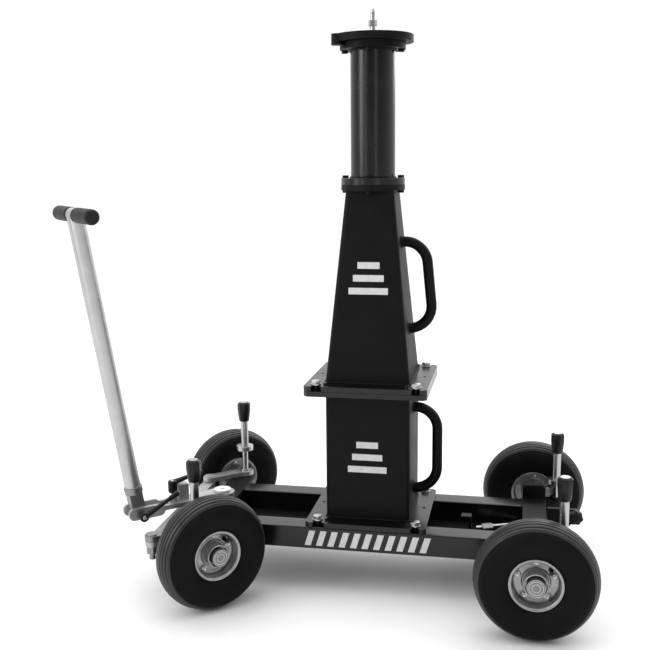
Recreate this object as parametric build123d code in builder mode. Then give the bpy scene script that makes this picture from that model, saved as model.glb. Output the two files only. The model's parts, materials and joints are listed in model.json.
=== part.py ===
"""Wheeled crane base: a four-wheel steered chassis with a tow bar and stacked column risers.

Millimetres, +Z up, the floor at z = 0.  -X is the front, where the tow bar is, and -Y is
the left side.  The origin is on the floor under the middle of the whole object's box.
"""
from build123d import *
from math import cos, radians, sin
import os

# ------------------------------------------------------------------ driving dimensions
COLUMN_X = 107.69         # column axis, measured from the middle of the object's box
AXLE_REACH = 382.0        # column axis to each axle line
KINGPIN_Y = 205.0
STEER_ANGLE = 42.0        # the wheels and the drawbar rest turned to the left
STUB_TURN = {"left": 3.0, "right": -1.0}     # the stub axles' own turn past that
CRANK = 106.0             # kingpin to tie bar pin, the same on all three cranks

WHEEL_R = 130.0
TYRE_HALF = 42.4
BEAD_R = 52.0
RIM_FLANGE_R = 57.0
RIM_HALF = 32.0
SHEET = 3.0
HUB_R = 26.0
HUB_HALF = 34.0
AXLE_R = 10.0
REAR_WHEEL_Y = 282.0
WHEEL_OFFSET = 79.0       # kingpin axis to the front wheels' middle plane
RIM_BOLT_CIRCLE_R = 40.0
RUNNING = 0.05            # radial clearance of every running fit

RAIL_OUT = 139.5
RAIL_WIDE = 54.0
RAIL_LOW = 102.0
RAIL_TOP = 154.0
WALL = 4.0
BEAM_WIDE = 56.0
BEAM_HALF = 178.0
EAR = 12.0                # thickness of the yoke ears at the front beam's ends

FLANGE = 280.0
PLATE = 12.0
RISER = 195.0
LOWER_TOP = 464.0         # top of the lower riser's tube
UPPER_TOP = 922.0         # top of the tapered riser
NECK = 110.0              # width of the tapered riser at its top
CORNER_R = 10.0
FLANGE_BOLT = (114.0, 118.0)
BOLT_R = 6.0

COLUMN_R = 50.5
ROUND_FLANGE_R = 73.0
NECK_PLATE = 13.0
FOOT_PLATE = 15.0
COLUMN_TOP = 1233.0
HEAD_PLATE = 15.6
DISC_R = 91.5
DISC_PLATE = 15.8
STUD_R = 5.25

PIN_R = 8.0               # lock pins: thin part below the collar
PIN_UPPER_R = 10.0
PIN_COLLAR_R = 22.5
PIN_COLLAR = 12.0
PIN_TRAVEL = 66.0
PIN_RISE = 126.0          # middle of the collar to the top of the grip
FRONT_GUIDE = 171.0       # where a lock pin's collar lands
REAR_GUIDE = 138.0
REAR_PIN = (56.0, 212.0)  # behind the rear axle, and out from the middle

BAR_LOW = 166.0           # drawbar plate
BAR_TOP = 178.0
ARM_LOW = 155.0           # steering arms
ARM_TOP = 167.0
TIE_LOW = 141.0
TIE_TOP = 154.0
HINGE_REACH = 221.0       # drawbar pivot to the tow bar's hinge pin
HINGE_Z = 168.0
FORK_IN = 16.0
FORK_OUT = 24.0
TOW_LEAN = 9.1
TOW_LENGTH = 718.0        # hinge pin to the cross bar's axis
TOW_R = 19.0
TOW_NECK = 50.0
CROSS_R = 14.0
GRIP_R = 17.0
GRIP_END = 130.0

# ------------------------------------------------------------------ derived places
UP = Vector(0, 0, 1)
STEER = radians(STEER_ANGLE)
FORWARD = Vector(-cos(STEER), -sin(STEER), 0)      # along the turned drawbar
SIDE = Vector(sin(STEER), -cos(STEER), 0)          # square to it, towards the left
FRONT_X = COLUMN_X - AXLE_REACH
REAR_X = COLUMN_X + AXLE_REACH
RAIL_END = AXLE_REACH - BEAM_WIDE / 2
RAIL_Y = RAIL_OUT - RAIL_WIDE / 2
FLANGE_TOP = RAIL_TOP + PLATE
MID_TOP = LOWER_TOP + 2 * PLATE
NECK_TOP = UPPER_TOP + NECK_PLATE
FOOT_TOP = NECK_TOP + FOOT_PLATE
HEAD_TOP = COLUMN_TOP + HEAD_PLATE
DISC_TOP = HEAD_TOP + DISC_PLATE
COLUMN = Plane(origin=(COLUMN_X, 0, 0))
CRANKS = {
    "middle": Plane(origin=(FRONT_X, 0, 0), x_dir=FORWARD, z_dir=UP),
    "left": Plane(origin=(FRONT_X, -KINGPIN_Y, 0), x_dir=FORWARD, z_dir=UP),
    "right": Plane(origin=(FRONT_X, KINGPIN_Y, 0), x_dir=FORWARD, z_dir=UP),
}
STUBS = {
    "left": Vector(sin(STEER + radians(STUB_TURN["left"])), -cos(STEER + radians(STUB_TURN["left"])), 0),
    "right": Vector(-sin(STEER + radians(STUB_TURN["right"])), cos(STEER + radians(STUB_TURN["right"])), 0),
}
WHEELS = {
    "front_left": (CRANKS["left"].origin + STUBS["left"] * WHEEL_OFFSET + UP * WHEEL_R, STUBS["left"]),
    "front_right": (CRANKS["right"].origin + STUBS["right"] * WHEEL_OFFSET + UP * WHEEL_R, STUBS["right"]),
    "rear_left": (Vector(REAR_X, -REAR_WHEEL_Y, WHEEL_R), Vector(0, -1, 0)),
    "rear_right": (Vector(REAR_X, REAR_WHEEL_Y, WHEEL_R), Vector(0, 1, 0)),
}
# lock pins: axis, top of the guide, height of the collar above it
LOCK_PINS = {
    "front_left": ((FRONT_X, -KINGPIN_Y), FRONT_GUIDE, 21.0),
    "front_right": ((FRONT_X, KINGPIN_Y), FRONT_GUIDE, 53.0),
    "rear_left": ((REAR_X + REAR_PIN[0], -REAR_PIN[1]), REAR_GUIDE, 62.0),
    "rear_right": ((REAR_X + REAR_PIN[0], REAR_PIN[1]), REAR_GUIDE, 37.0),
}

os.makedirs("parts", exist_ok=True)


def save(piece, label):
    """Name a finished piece and write it as one STEP file."""
    piece.part.label = label
    export_step(piece.part, f"parts/{label}.step")


def disc(plane, radius, low, high, mode=Mode.ADD):
    """A round stretch about the plane's normal, between two heights over the plane."""
    with Locations(plane.offset(low)):
        Cylinder(radius, high - low, align=(Align.CENTER, Align.CENTER, Align.MIN), mode=mode)


def block(plane, x_span, y_span, z_span, mode=Mode.ADD):
    """A box given by its span along each of the plane's axes."""
    centre = plane.from_local_coords(
        (sum(x_span) / 2, sum(y_span) / 2, sum(z_span) / 2)
    )
    with Locations(Plane(origin=centre, x_dir=plane.x_dir, z_dir=plane.z_dir)):
        Box(
            x_span[1] - x_span[0],
            y_span[1] - y_span[0],
            z_span[1] - z_span[0],
            mode=mode,
        )


def across(plane, x, y, z):
    """A plane whose normal is the given plane's Y axis, at a local point."""
    return Plane(origin=plane.from_local_coords((x, y, z)), x_dir=plane.x_dir, z_dir=plane.y_dir)


# ------------------------------------------------------------------ wheels
TREAD_GROOVES = (0, 8, 16, 24, 31)      # distance of each groove from the middle plane
GROOVE_WIDE = 2.4
GROOVE_DEEP = 3.0
SHOULDER = (117.5, 32.5)                # radius and distance from the middle plane
SIDEWALL = (86.0, TYRE_HALF)
RIM_SEAT = (58.4, 31.5)
BEAD_HEEL = (57.6, 28.8)
CARCASS = 7.0                           # thickness of the tyre's wall
BEAD_TOE = (BEAD_R, 20.0)
BEAD_FOOT = (60.0, 22.0)
RIM_BOLTS = 5
RIM_BOLT_R = 4.0
RIM_NUT_HALF = 6.5
RIM_NUT = 6.0
HALVES_GAP = 0.1
HUB_FACE = 22.0                         # bearing face inside the hub tube's outer end
CAP_R = 19.0
CAP_SPAN = (22.6, 44.0)
CENTRE_HOLE = (3.0, 6.0)                # radius and depth of the hole in a cap's face


def section_of(centre, outward):
    """Section plane of a wheel: X is the radius, Y points out of the wheel."""
    return Plane(origin=centre, x_dir=UP, z_dir=UP.cross(outward))


def tread_radius(width):
    """Radius of the tyre's crown, one arc from shoulder to shoulder, off its middle plane."""
    drop = WHEEL_R - SHOULDER[0]
    crown_r = (SHOULDER[1] ** 2 + drop ** 2) / (2 * drop)
    return WHEEL_R - crown_r + (crown_r ** 2 - width ** 2) ** 0.5


def mirrored(point):
    return (point[0], -point[1])


def make_tyre(label, centre, outward):
    """A hollow pneumatic tyre with a ribbed tread."""
    wall_inside = (SIDEWALL[0], SIDEWALL[1] - CARCASS)
    shoulder_inside = (SHOULDER[0] - CARCASS, SHOULDER[1] - CARCASS)
    crown_inside = (WHEEL_R - CARCASS - GROOVE_DEEP, 0)
    with BuildPart() as tyre:
        with BuildSketch(section_of(centre, outward)):
            with BuildLine():
                Polyline(BEAD_FOOT, BEAD_TOE, (BEAD_R, BEAD_HEEL[1]), BEAD_HEEL, RIM_SEAT)
                ThreePointArc(RIM_SEAT, SIDEWALL, SHOULDER)
                ThreePointArc(SHOULDER, (WHEEL_R, 0), mirrored(SHOULDER))
                ThreePointArc(mirrored(SHOULDER), mirrored(SIDEWALL), mirrored(RIM_SEAT))
                Polyline(mirrored(RIM_SEAT), mirrored(BEAD_HEEL), (BEAD_R, -BEAD_HEEL[1]))
                Polyline((BEAD_R, -BEAD_HEEL[1]), mirrored(BEAD_TOE), mirrored(BEAD_FOOT))
                ThreePointArc(mirrored(BEAD_FOOT), mirrored(wall_inside), mirrored(shoulder_inside))
                ThreePointArc(mirrored(shoulder_inside), crown_inside, shoulder_inside)
                ThreePointArc(shoulder_inside, wall_inside, BEAD_FOOT)
            make_face()
            for width in TREAD_GROOVES:
                for side in (1, -1):
                    with Locations((tread_radius(width), side * width)):
                        Rectangle(2 * GROOVE_DEEP, GROOVE_WIDE, mode=Mode.SUBTRACT)
        revolve(axis=Axis(centre, outward))
    save(tyre, label)


def make_rim(label, centre, outward):
    """Two pressed halves, a hair apart; the inner one carries the hub tube."""
    face = Plane(origin=centre, x_dir=UP, z_dir=outward)
    lip = RIM_HALF - SHEET
    with BuildPart() as rim:
        disc(face, HUB_R, -HUB_HALF, HUB_HALF)
        disc(face, HUB_R - SHEET, HUB_FACE, HUB_HALF, mode=Mode.SUBTRACT)
        disc(face, AXLE_R + RUNNING, -HUB_HALF, HUB_FACE, mode=Mode.SUBTRACT)
        for side, bore in ((1, HUB_R + HALVES_GAP), (-1, HUB_R - 1)):
            with BuildSketch(section_of(centre, outward)):
                with BuildLine():
                    Polyline(
                        (bore, side * HALVES_GAP / 2),
                        (BEAD_R, side * HALVES_GAP / 2),
                        (BEAD_R, side * lip),
                        (RIM_FLANGE_R - 1, side * lip),
                        (RIM_FLANGE_R, side * (lip + 1)),
                        (RIM_FLANGE_R, side * (RIM_HALF - 1)),
                        (RIM_FLANGE_R - 1, side * RIM_HALF),
                        (BEAD_R - SHEET + 1, side * RIM_HALF),
                        (BEAD_R - SHEET, side * (RIM_HALF - 1)),
                        (BEAD_R - SHEET, side * (SHEET + 2)),
                        (BEAD_R - SHEET - 2, side * SHEET),
                        (bore, side * SHEET),
                        close=True,
                    )
                make_face()
            revolve(axis=Axis(centre, outward))
        with Locations(face):
            with PolarLocations(RIM_BOLT_CIRCLE_R, RIM_BOLTS):
                Cylinder(RIM_BOLT_R, 3 * SHEET, mode=Mode.SUBTRACT)
    save(rim, label)


def make_rim_bolts(label, centre, outward):
    """The bolts and nuts that clamp the rim's halves together."""
    face = Plane(origin=centre, x_dir=UP, z_dir=outward)
    with BuildPart() as bolts:
        with Locations(face):
            with PolarLocations(RIM_BOLT_CIRCLE_R, RIM_BOLTS):
                Cylinder(RIM_BOLT_R, 2 * (SHEET + RIM_NUT + 2))
        for low in (SHEET, -SHEET - RIM_NUT):
            with BuildSketch(face.offset(low)):
                with PolarLocations(RIM_BOLT_CIRCLE_R, RIM_BOLTS):
                    RegularPolygon(RIM_NUT_HALF, 6, major_radius=False, rotation=30)
            extrude(amount=RIM_NUT)
    save(bolts, label)


for place, (wheel_centre, wheel_out) in WHEELS.items():
    make_tyre(f"{place}_tyre", wheel_centre, wheel_out)
    make_rim(f"{place}_rim", wheel_centre, wheel_out)
    make_rim_bolts(f"{place}_rim_bolts", wheel_centre, wheel_out)

# ------------------------------------------------------------------ chassis frame
RAIL_CORNER = 3.0
RAIL_WALL = 3.0
YOKE_R = 24.0
KINGPIN_R = 13.0
END_PLATE = (145.0, 160.0)       # upright plates at the rear beam's ends
END_TOP = 188.0
END_CORNER = 12.0
BOSS_R = 24.0                    # round bosses that carry the rear axles
BOSS_END = 232.0
GUIDE_R = 15.0
GUIDE_FOOT = 114.0
BRACKET_SPAN = (120.0, 132.0)    # heights of the flat arm that carries a rear guide
AXLE_SHOULDER_R = 16.0
AXLE_ROOT = 50.0                 # how far the rear axles reach into their bosses
AXLE_GAP = 0.5                   # between a wheel's hub and the shoulder beside it
BOLT_HOLE_GAP = 0.5
PIVOT_ROOT = 24.0                # depth of the drawbar pivot's seat in the front beam

for side, label in ((-1, "left_rail"), (1, "right_rail")):
    rail_start = Plane(
        origin=(COLUMN_X - RAIL_END, side * RAIL_Y, (RAIL_LOW + RAIL_TOP) / 2),
        x_dir=(0, 1, 0),
        z_dir=(1, 0, 0),
    )
    with BuildPart() as rail:
        with BuildSketch(rail_start):
            RectangleRounded(RAIL_WIDE, RAIL_TOP - RAIL_LOW, RAIL_CORNER)
            Rectangle(
                RAIL_WIDE - 2 * RAIL_WALL,
                RAIL_TOP - RAIL_LOW - 2 * RAIL_WALL,
                mode=Mode.SUBTRACT,
            )
        extrude(amount=2 * RAIL_END)
        for end in (-1, 1):
            with Locations((COLUMN_X + end * FLANGE_BOLT[0], side * FLANGE_BOLT[1], RAIL_TOP)):
                Cylinder(BOLT_R + BOLT_HOLE_GAP, 4 * RAIL_WALL, mode=Mode.SUBTRACT)
    save(rail, label)

with BuildPart() as floor_plate:
    block(
        COLUMN,
        (-RAIL_END, RAIL_END),
        (RAIL_WIDE - RAIL_OUT, RAIL_OUT - RAIL_WIDE),
        (RAIL_LOW, RAIL_LOW + WALL),
    )
save(floor_plate, "floor_plate")

front = Plane(origin=(FRONT_X, 0, 0))
with BuildPart() as front_beam:
    with BuildSketch(front.offset(RAIL_LOW)):
        Rectangle(BEAM_WIDE, 2 * BEAM_HALF)
    extrude(amount=RAIL_TOP - RAIL_LOW)
    for low in (RAIL_LOW, RAIL_TOP - EAR):
        with BuildSketch(front.offset(low)):
            with Locations((0, KINGPIN_Y), (0, -KINGPIN_Y)):
                Circle(YOKE_R)
            Rectangle(2 * YOKE_R, 2 * KINGPIN_Y)
        extrude(amount=EAR)
    with Locations((FRONT_X, KINGPIN_Y, RAIL_TOP), (FRONT_X, -KINGPIN_Y, RAIL_TOP)):
        Cylinder(KINGPIN_R + RUNNING, 2 * RAIL_TOP, mode=Mode.SUBTRACT)
    disc(front, AXLE_R + RUNNING, RAIL_TOP - PIVOT_ROOT, RAIL_TOP, mode=Mode.SUBTRACT)
save(front_beam, "front_beam")

rear = Plane(origin=(REAR_X, 0, 0))
with BuildPart() as rear_beam:
    with BuildSketch(rear.offset(RAIL_LOW)):
        Rectangle(BEAM_WIDE, 2 * END_PLATE[0])
    extrude(amount=RAIL_TOP - RAIL_LOW)
    for side in (-1, 1):
        end_face = Plane(
            origin=(REAR_X, side * END_PLATE[0], (RAIL_LOW + END_TOP) / 2),
            x_dir=(-side, 0, 0),
            z_dir=(0, side, 0),
        )
        with BuildSketch(end_face):
            RectangleRounded(BEAM_WIDE, END_TOP - RAIL_LOW, END_CORNER)
            with Locations((0, (RAIL_LOW - END_TOP + 2 * END_CORNER) / 2)):
                Rectangle(BEAM_WIDE, 2 * END_CORNER)
        extrude(amount=END_PLATE[1] - END_PLATE[0])
        axle_seat = Plane(origin=(REAR_X, 0, WHEEL_R), x_dir=(1, 0, 0), z_dir=(0, side, 0))
        disc(axle_seat, BOSS_R, END_PLATE[1], BOSS_END)
        pin_x = REAR_PIN[0]
        pin_y = side * REAR_PIN[1]
        arm_reach = sorted((side * END_PLATE[0], pin_y + side * GUIDE_R))
        block(rear, (0, pin_x), arm_reach, BRACKET_SPAN)
        guide = Plane(origin=(REAR_X + pin_x, pin_y, 0))
        disc(guide, GUIDE_R, GUIDE_FOOT, REAR_GUIDE)
        disc(guide, PIN_R + RUNNING, 0, REAR_GUIDE, mode=Mode.SUBTRACT)
        disc(axle_seat, AXLE_R + RUNNING, BOSS_END - AXLE_ROOT, BOSS_END, mode=Mode.SUBTRACT)
save(rear_beam, "rear_beam")

with BuildPart() as rear_axles:
    for side in (-1, 1):
        stub = Plane(origin=(REAR_X, 0, WHEEL_R), x_dir=(1, 0, 0), z_dir=(0, side, 0))
        cap_low = REAR_WHEEL_Y + CAP_SPAN[0]
        cap_high = REAR_WHEEL_Y + CAP_SPAN[1]
        disc(stub, AXLE_R, BOSS_END - AXLE_ROOT, cap_low)
        disc(stub, AXLE_SHOULDER_R, BOSS_END, REAR_WHEEL_Y - HUB_HALF - AXLE_GAP)
        disc(stub, CAP_R, cap_low, cap_high)
        disc(stub, CENTRE_HOLE[0], cap_high - CENTRE_HOLE[1], cap_high, mode=Mode.SUBTRACT)
save(rear_axles, "rear_axles")

# ------------------------------------------------------------------ steering
KNUCKLE_R = 21.0
THRUST_R = 17.0           # washer faces above the yoke, and the nut below it
THRUST_DROP = 8.0
STUB_R = 11.0
SLOT_GAP = 0.5            # between faces that turn on each other
ARM_HALF = 16.0
ARM_ROOT_R = 22.0
TIE_HALF = 15.0
TIE_PIN_R = 8.0
TIE_CAP_R = 13.0
TIE_CAP = 3.0
TIE_NUT_HALF = 12.0
TIE_NUT = 16.0
PIN_END = TIE_LOW - 8.0   # lower end of the drawbar's tie bar pin
ARM_PIN_END = 110.0       # lower ends of the two arms' pins
ARM_TIP_R = 7.0
POST_HALF = 12.0
POST_TOP = 218.0

for label in ("left", "right"):
    crank = CRANKS[label]
    cap_low = WHEEL_OFFSET + CAP_SPAN[0]
    cap_high = WHEEL_OFFSET + CAP_SPAN[1]
    with BuildPart() as knuckle:
        disc(crank, KNUCKLE_R, RAIL_LOW + EAR + SLOT_GAP, RAIL_TOP - EAR - SLOT_GAP)
        disc(crank, KINGPIN_R, RAIL_LOW - THRUST_DROP, FRONT_GUIDE)
        disc(crank, THRUST_R, RAIL_LOW - THRUST_DROP, RAIL_LOW - SLOT_GAP)
        stub = Plane(origin=crank.from_local_coords((0, 0, WHEEL_R)), x_dir=UP, z_dir=STUBS[label])
        disc(stub, STUB_R, 0, WHEEL_OFFSET - HUB_HALF - AXLE_GAP)
        disc(stub, AXLE_R, 0, cap_low)
        disc(stub, CAP_R, cap_low, cap_high)
        disc(stub, CENTRE_HOLE[0], cap_high - CENTRE_HOLE[1], cap_high, mode=Mode.SUBTRACT)
        disc(crank, PIN_R + RUNNING, 0, FRONT_GUIDE, mode=Mode.SUBTRACT)
    save(knuckle, f"{label}_knuckle")

    pin = Plane(origin=crank.from_local_coords((CRANK, 0, 0)))
    with BuildPart() as arm:
        with BuildSketch(crank.offset(ARM_LOW)):
            with Locations((CRANK / 2, 0)):
                SlotCenterToCenter(CRANK, 2 * ARM_HALF)
            Circle(ARM_ROOT_R)
        extrude(amount=ARM_TOP - ARM_LOW)
        disc(crank, KINGPIN_R + RUNNING, ARM_LOW, ARM_TOP, mode=Mode.SUBTRACT)
        disc(pin, TIE_PIN_R, TIE_LOW - SLOT_GAP, ARM_TOP)
        disc(pin, TIE_CAP_R, ARM_TOP, ARM_TOP + TIE_CAP)
        disc(pin, ARM_TIP_R, ARM_PIN_END, TIE_LOW - SLOT_GAP)
        with BuildSketch(pin.offset(TIE_LOW - SLOT_GAP - TIE_NUT)):
            RegularPolygon(TIE_NUT_HALF, 6, major_radius=False)
        extrude(amount=TIE_NUT)
    save(arm, f"{label}_steering_arm")

middle = CRANKS["middle"]
tie_centre = middle.from_local_coords((CRANK, 0, 0))
tie_plane = Plane(origin=tie_centre, x_dir=FORWARD)
with BuildPart() as tie_bar:
    with BuildSketch(Plane(origin=tie_centre + UP * TIE_LOW)):
        SlotCenterToCenter(2 * KINGPIN_Y, 2 * TIE_HALF, rotation=90)
        with Locations((0, KINGPIN_Y), (0, 0), (0, -KINGPIN_Y)):
            Circle(TIE_PIN_R + RUNNING, mode=Mode.SUBTRACT)
    extrude(amount=TIE_TOP - TIE_LOW)
save(tie_bar, "tie_bar")

PIVOT_WASHER_R = 20.0
PIVOT_CAP_R = 21.5
PIVOT_CAP_TOP = 184.3
KEY_R = 5.0
KEY_DEEP = 3.0
with BuildPart() as drawbar_pivot:
    disc(middle, PIVOT_WASHER_R, RAIL_TOP, BAR_LOW - SLOT_GAP)
    disc(middle, AXLE_R, RAIL_TOP - PIVOT_ROOT, BAR_TOP + SLOT_GAP)
    disc(middle, PIVOT_CAP_R, BAR_TOP + SLOT_GAP, PIVOT_CAP_TOP)
    with BuildSketch(middle.offset(PIVOT_CAP_TOP)):
        RegularPolygon(KEY_R, 6)
    extrude(amount=-KEY_DEEP, mode=Mode.SUBTRACT)
save(drawbar_pivot, "drawbar_pivot")

PIVOT_END_R = 30.0
FORK_START = 160.0
FORK_END = 250.0
FORK_LOW = 155.0
FORK_TOP = 184.0
FORK_CORNER = 13.0
PLATE_END = 228.0
SLOT_START = 148.0
HINGE_PIN_R = 6.0
LEVER_STUD_R = 5.0
LOCK_LEVER_AT = 131.0
LOCK_BOSS = (10.0, 190.0)        # radius and top of the boss under the locking lever

with BuildPart() as drawbar:
    with BuildSketch(middle.offset(BAR_LOW)):
        with BuildLine():
            Polyline(
                (0, PIVOT_END_R),
                (CRANK, FORK_OUT),
                (PLATE_END, FORK_OUT),
                (PLATE_END, -FORK_OUT),
                (CRANK, -FORK_OUT),
                (0, -PIVOT_END_R),
                close=True,
            )
        make_face()
        Circle(PIVOT_END_R)
        Circle(AXLE_R + RUNNING, mode=Mode.SUBTRACT)
        with Locations(((SLOT_START + FORK_END) / 2, 0)):
            Rectangle(FORK_END - SLOT_START, 2 * FORK_IN, mode=Mode.SUBTRACT)
    extrude(amount=BAR_TOP - BAR_LOW)
    for side in (1, -1):
        cheek = across(middle, (FORK_START + FORK_END) / 2, side * FORK_IN, (FORK_LOW + FORK_TOP) / 2)
        with BuildSketch(cheek):
            RectangleRounded(FORK_END - FORK_START, FORK_TOP - FORK_LOW, FORK_CORNER)
        extrude(amount=side * (FORK_OUT - FORK_IN))
    hinge_bore = across(middle, HINGE_REACH, 0, HINGE_Z)
    disc(hinge_bore, HINGE_PIN_R + RUNNING, -2 * FORK_OUT, 2 * FORK_OUT, mode=Mode.SUBTRACT)
    disc(tie_plane, TIE_PIN_R, PIN_END, BAR_TOP)
    disc(tie_plane, TIE_CAP_R, PIN_END, TIE_LOW - SLOT_GAP)
    disc(tie_plane, TIE_CAP_R, TIE_TOP + SLOT_GAP, BAR_LOW)
    block(tie_plane, (-POST_HALF, POST_HALF), (-POST_HALF, POST_HALF), (BAR_TOP, POST_TOP))
    lever_hole = Plane(origin=middle.from_local_coords((LOCK_LEVER_AT, 0, 0)))
    disc(lever_hole, LOCK_BOSS[0], BAR_TOP, LOCK_BOSS[1])
    disc(lever_hole, LEVER_STUD_R + RUNNING, BAR_LOW, LOCK_BOSS[1], mode=Mode.SUBTRACT)
save(drawbar, "drawbar")

# ------------------------------------------------------------------ clamping levers
LEVER_HUB_R = 11.5
LEVER_ROOT_R = 7.0
LEVER_ARM_R = 5.5
LEVER_TIP_R = 7.5


def clamping_lever(label, place, hub_span, stud_r, stud_low, rise, reach):
    """A hub on its stud; a tapered arm leaves the hub's top over the place's -X at a rise."""
    hub_top = place.from_local_coords((0, 0, hub_span[1] - LEVER_ARM_R))
    along = place.x_dir * -cos(rise[0]) + place.y_dir * sin(rise[0])
    along = along * cos(rise[1]) + place.z_dir * sin(rise[1])
    foot_up = (Align.CENTER, Align.CENTER, Align.MIN)
    with BuildPart() as lever:
        disc(place, LEVER_HUB_R, *hub_span)
        disc(place, stud_r, stud_low, hub_span[0])
        with Locations(Plane(origin=hub_top, z_dir=along)):
            Cone(LEVER_ROOT_R, LEVER_ARM_R, reach, align=foot_up)
        with Locations(hub_top + along * reach):
            Sphere(LEVER_TIP_R)
    save(lever, label)


clamping_lever(
    "tow_clamp_lever",
    place=hinge_bore,
    hub_span=(27, 50),
    stud_r=HINGE_PIN_R,
    stud_low=-30,
    rise=(radians(-27), 0),
    reach=95,
)
clamping_lever(
    "steering_lock_lever",
    place=Plane(origin=lever_hole.origin, x_dir=FORWARD),
    hub_span=(199, 229),
    stud_r=LEVER_STUD_R,
    stud_low=BAR_LOW,
    rise=(0, radians(12)),
    reach=74,
)

# ------------------------------------------------------------------ tow bar
LEAN = radians(TOW_LEAN)
BAR = FORWARD * sin(LEAN) + UP * cos(LEAN)
HINGE = middle.from_local_coords((HINGE_REACH, 0, HINGE_Z))
TOW = Plane(origin=HINGE, x_dir=SIDE, z_dir=BAR)     # X is the hinge's axis, Z runs up the bar
HINGE_LINE = Plane(origin=HINGE, x_dir=BAR, z_dir=SIDE)
CROSS = Plane(origin=HINGE + BAR * TOW_LENGTH, x_dir=BAR, z_dir=SIDE)
NECK_HALF = 15.6
NECK_DEEP = 16.0
NECK_FOOT_R = 13.0
SOCKET_R = 21.5
SOCKET_TOP = 66.0
TOW_WALL = 2.5
TUBE_SEAT = 8.0
COLLAR_R = 15.8
COLLAR_HALF = 20.0
GRIP_DOME = 7.0

with BuildPart() as tow_socket:
    block(TOW, (-NECK_HALF, NECK_HALF), (-NECK_DEEP, NECK_DEEP), (0, TOW_NECK))
    disc(HINGE_LINE, NECK_FOOT_R, -NECK_HALF, NECK_HALF)
    disc(TOW, SOCKET_R, TOW_NECK, SOCKET_TOP)
    disc(TOW, TOW_R, SOCKET_TOP - TUBE_SEAT, SOCKET_TOP, mode=Mode.SUBTRACT)
    disc(HINGE_LINE, HINGE_PIN_R + RUNNING, -FORK_OUT, FORK_OUT, mode=Mode.SUBTRACT)
save(tow_socket, "tow_socket")

with BuildPart() as tow_tube:
    disc(TOW, TOW_R, SOCKET_TOP - TUBE_SEAT, TOW_LENGTH)
    disc(TOW, TOW_R - TOW_WALL, SOCKET_TOP - TUBE_SEAT, TOW_LENGTH, mode=Mode.SUBTRACT)
    disc(CROSS, COLLAR_R, -2 * TOW_R, 2 * TOW_R, mode=Mode.SUBTRACT)
save(tow_tube, "tow_tube")

with BuildPart() as tow_cross_bar:
    disc(CROSS, CROSS_R, GRIP_DOME - GRIP_END, GRIP_END - GRIP_DOME)
    disc(CROSS, COLLAR_R, -COLLAR_HALF, COLLAR_HALF)
save(tow_cross_bar, "tow_cross_bar")

with BuildPart() as tow_grips:
    for side in (-1, 1):
        grip = Plane(origin=CROSS.origin, x_dir=BAR, z_dir=SIDE * side)
        disc(grip, GRIP_R, COLLAR_HALF, GRIP_END)
        end_edge = edges().filter_by(GeomType.CIRCLE).sort_by(Axis(CROSS.origin, SIDE * side))[-1]
        fillet(end_edge, GRIP_DOME)
        disc(grip, CROSS_R, COLLAR_HALF, GRIP_END - GRIP_DOME, mode=Mode.SUBTRACT)
save(tow_grips, "tow_grips")

# ------------------------------------------------------------------ lock pins
GRIP_TALL = 52.0
GRIP_TOP_R = 17.5
GRIP_FOOT_R = 14.0
GRIP_SHOULDER = 22.0      # from the top of the grip down to where it starts to taper
GRIP_CHAMFER = 6.0
GRIP_CROWN_R = 12.0
GRIP_RIM = 0.6            # the rod's end stands this far out of the grip
GRIP_FACETS = 8
PIN_REACH = 45.0          # how far a fully raised pin still reaches into its guide

for place, ((pin_x, pin_y), guide_top, raised) in LOCK_PINS.items():
    collar_low = guide_top + raised
    top = collar_low + PIN_COLLAR / 2 + PIN_RISE
    spot = Plane(origin=(pin_x, pin_y, 0))
    with BuildPart() as lock_pin:
        disc(spot, PIN_R, collar_low - PIN_TRAVEL - PIN_REACH, collar_low)
        disc(spot, PIN_COLLAR_R, collar_low, collar_low + PIN_COLLAR)
        disc(spot, PIN_UPPER_R, collar_low + PIN_COLLAR, top)
    save(lock_pin, f"{place}_lock_pin")

    with BuildPart() as pin_grip:
        for low, low_r, high, high_r in (
            (top - GRIP_TALL, GRIP_FOOT_R, top - GRIP_SHOULDER, GRIP_TOP_R),
            (top - GRIP_SHOULDER, GRIP_TOP_R, top - GRIP_CHAMFER, GRIP_TOP_R),
            (top - GRIP_CHAMFER, GRIP_TOP_R, top - GRIP_RIM, GRIP_CROWN_R),
        ):
            with BuildSketch(spot.offset(low)):
                RegularPolygon(low_r, GRIP_FACETS)
            with BuildSketch(spot.offset(high)):
                RegularPolygon(high_r, GRIP_FACETS)
            loft()
        disc(spot, PIN_UPPER_R, top - GRIP_TALL, top, mode=Mode.SUBTRACT)
    save(pin_grip, f"{place}_pin_grip")

# ------------------------------------------------------------------ riser flanges
SLOT_HALF = 6.5
# the open slots' edges, by their distance behind the column's axis, and their radii
SLOT_EDGES = (
    (-FLANGE_BOLT[0] - SLOT_HALF, 6.0),
    (-FLANGE_BOLT[0] + SLOT_HALF, 20.0),
    (FLANGE_BOLT[0] - SLOT_HALF, 6.0),
    (FLANGE_BOLT[0] + SLOT_HALF, 11.0),
)
NUB_R = 4.5
NUB_TALL = 5.0
NUB_AT = (93.0, 117.0)
DOWEL_HOLE = (122.0, 4.0)
BORE_SIDE = 130.0         # square hole through the riser flanges


def slot_mouths(points, distance):
    """The points on the left and right edges at a distance behind the middle."""
    return [
        point for point in points
        if abs(abs(point.Y) - FLANGE / 2) < 0.01 and abs(point.X - distance) < 0.01
    ]


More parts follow.
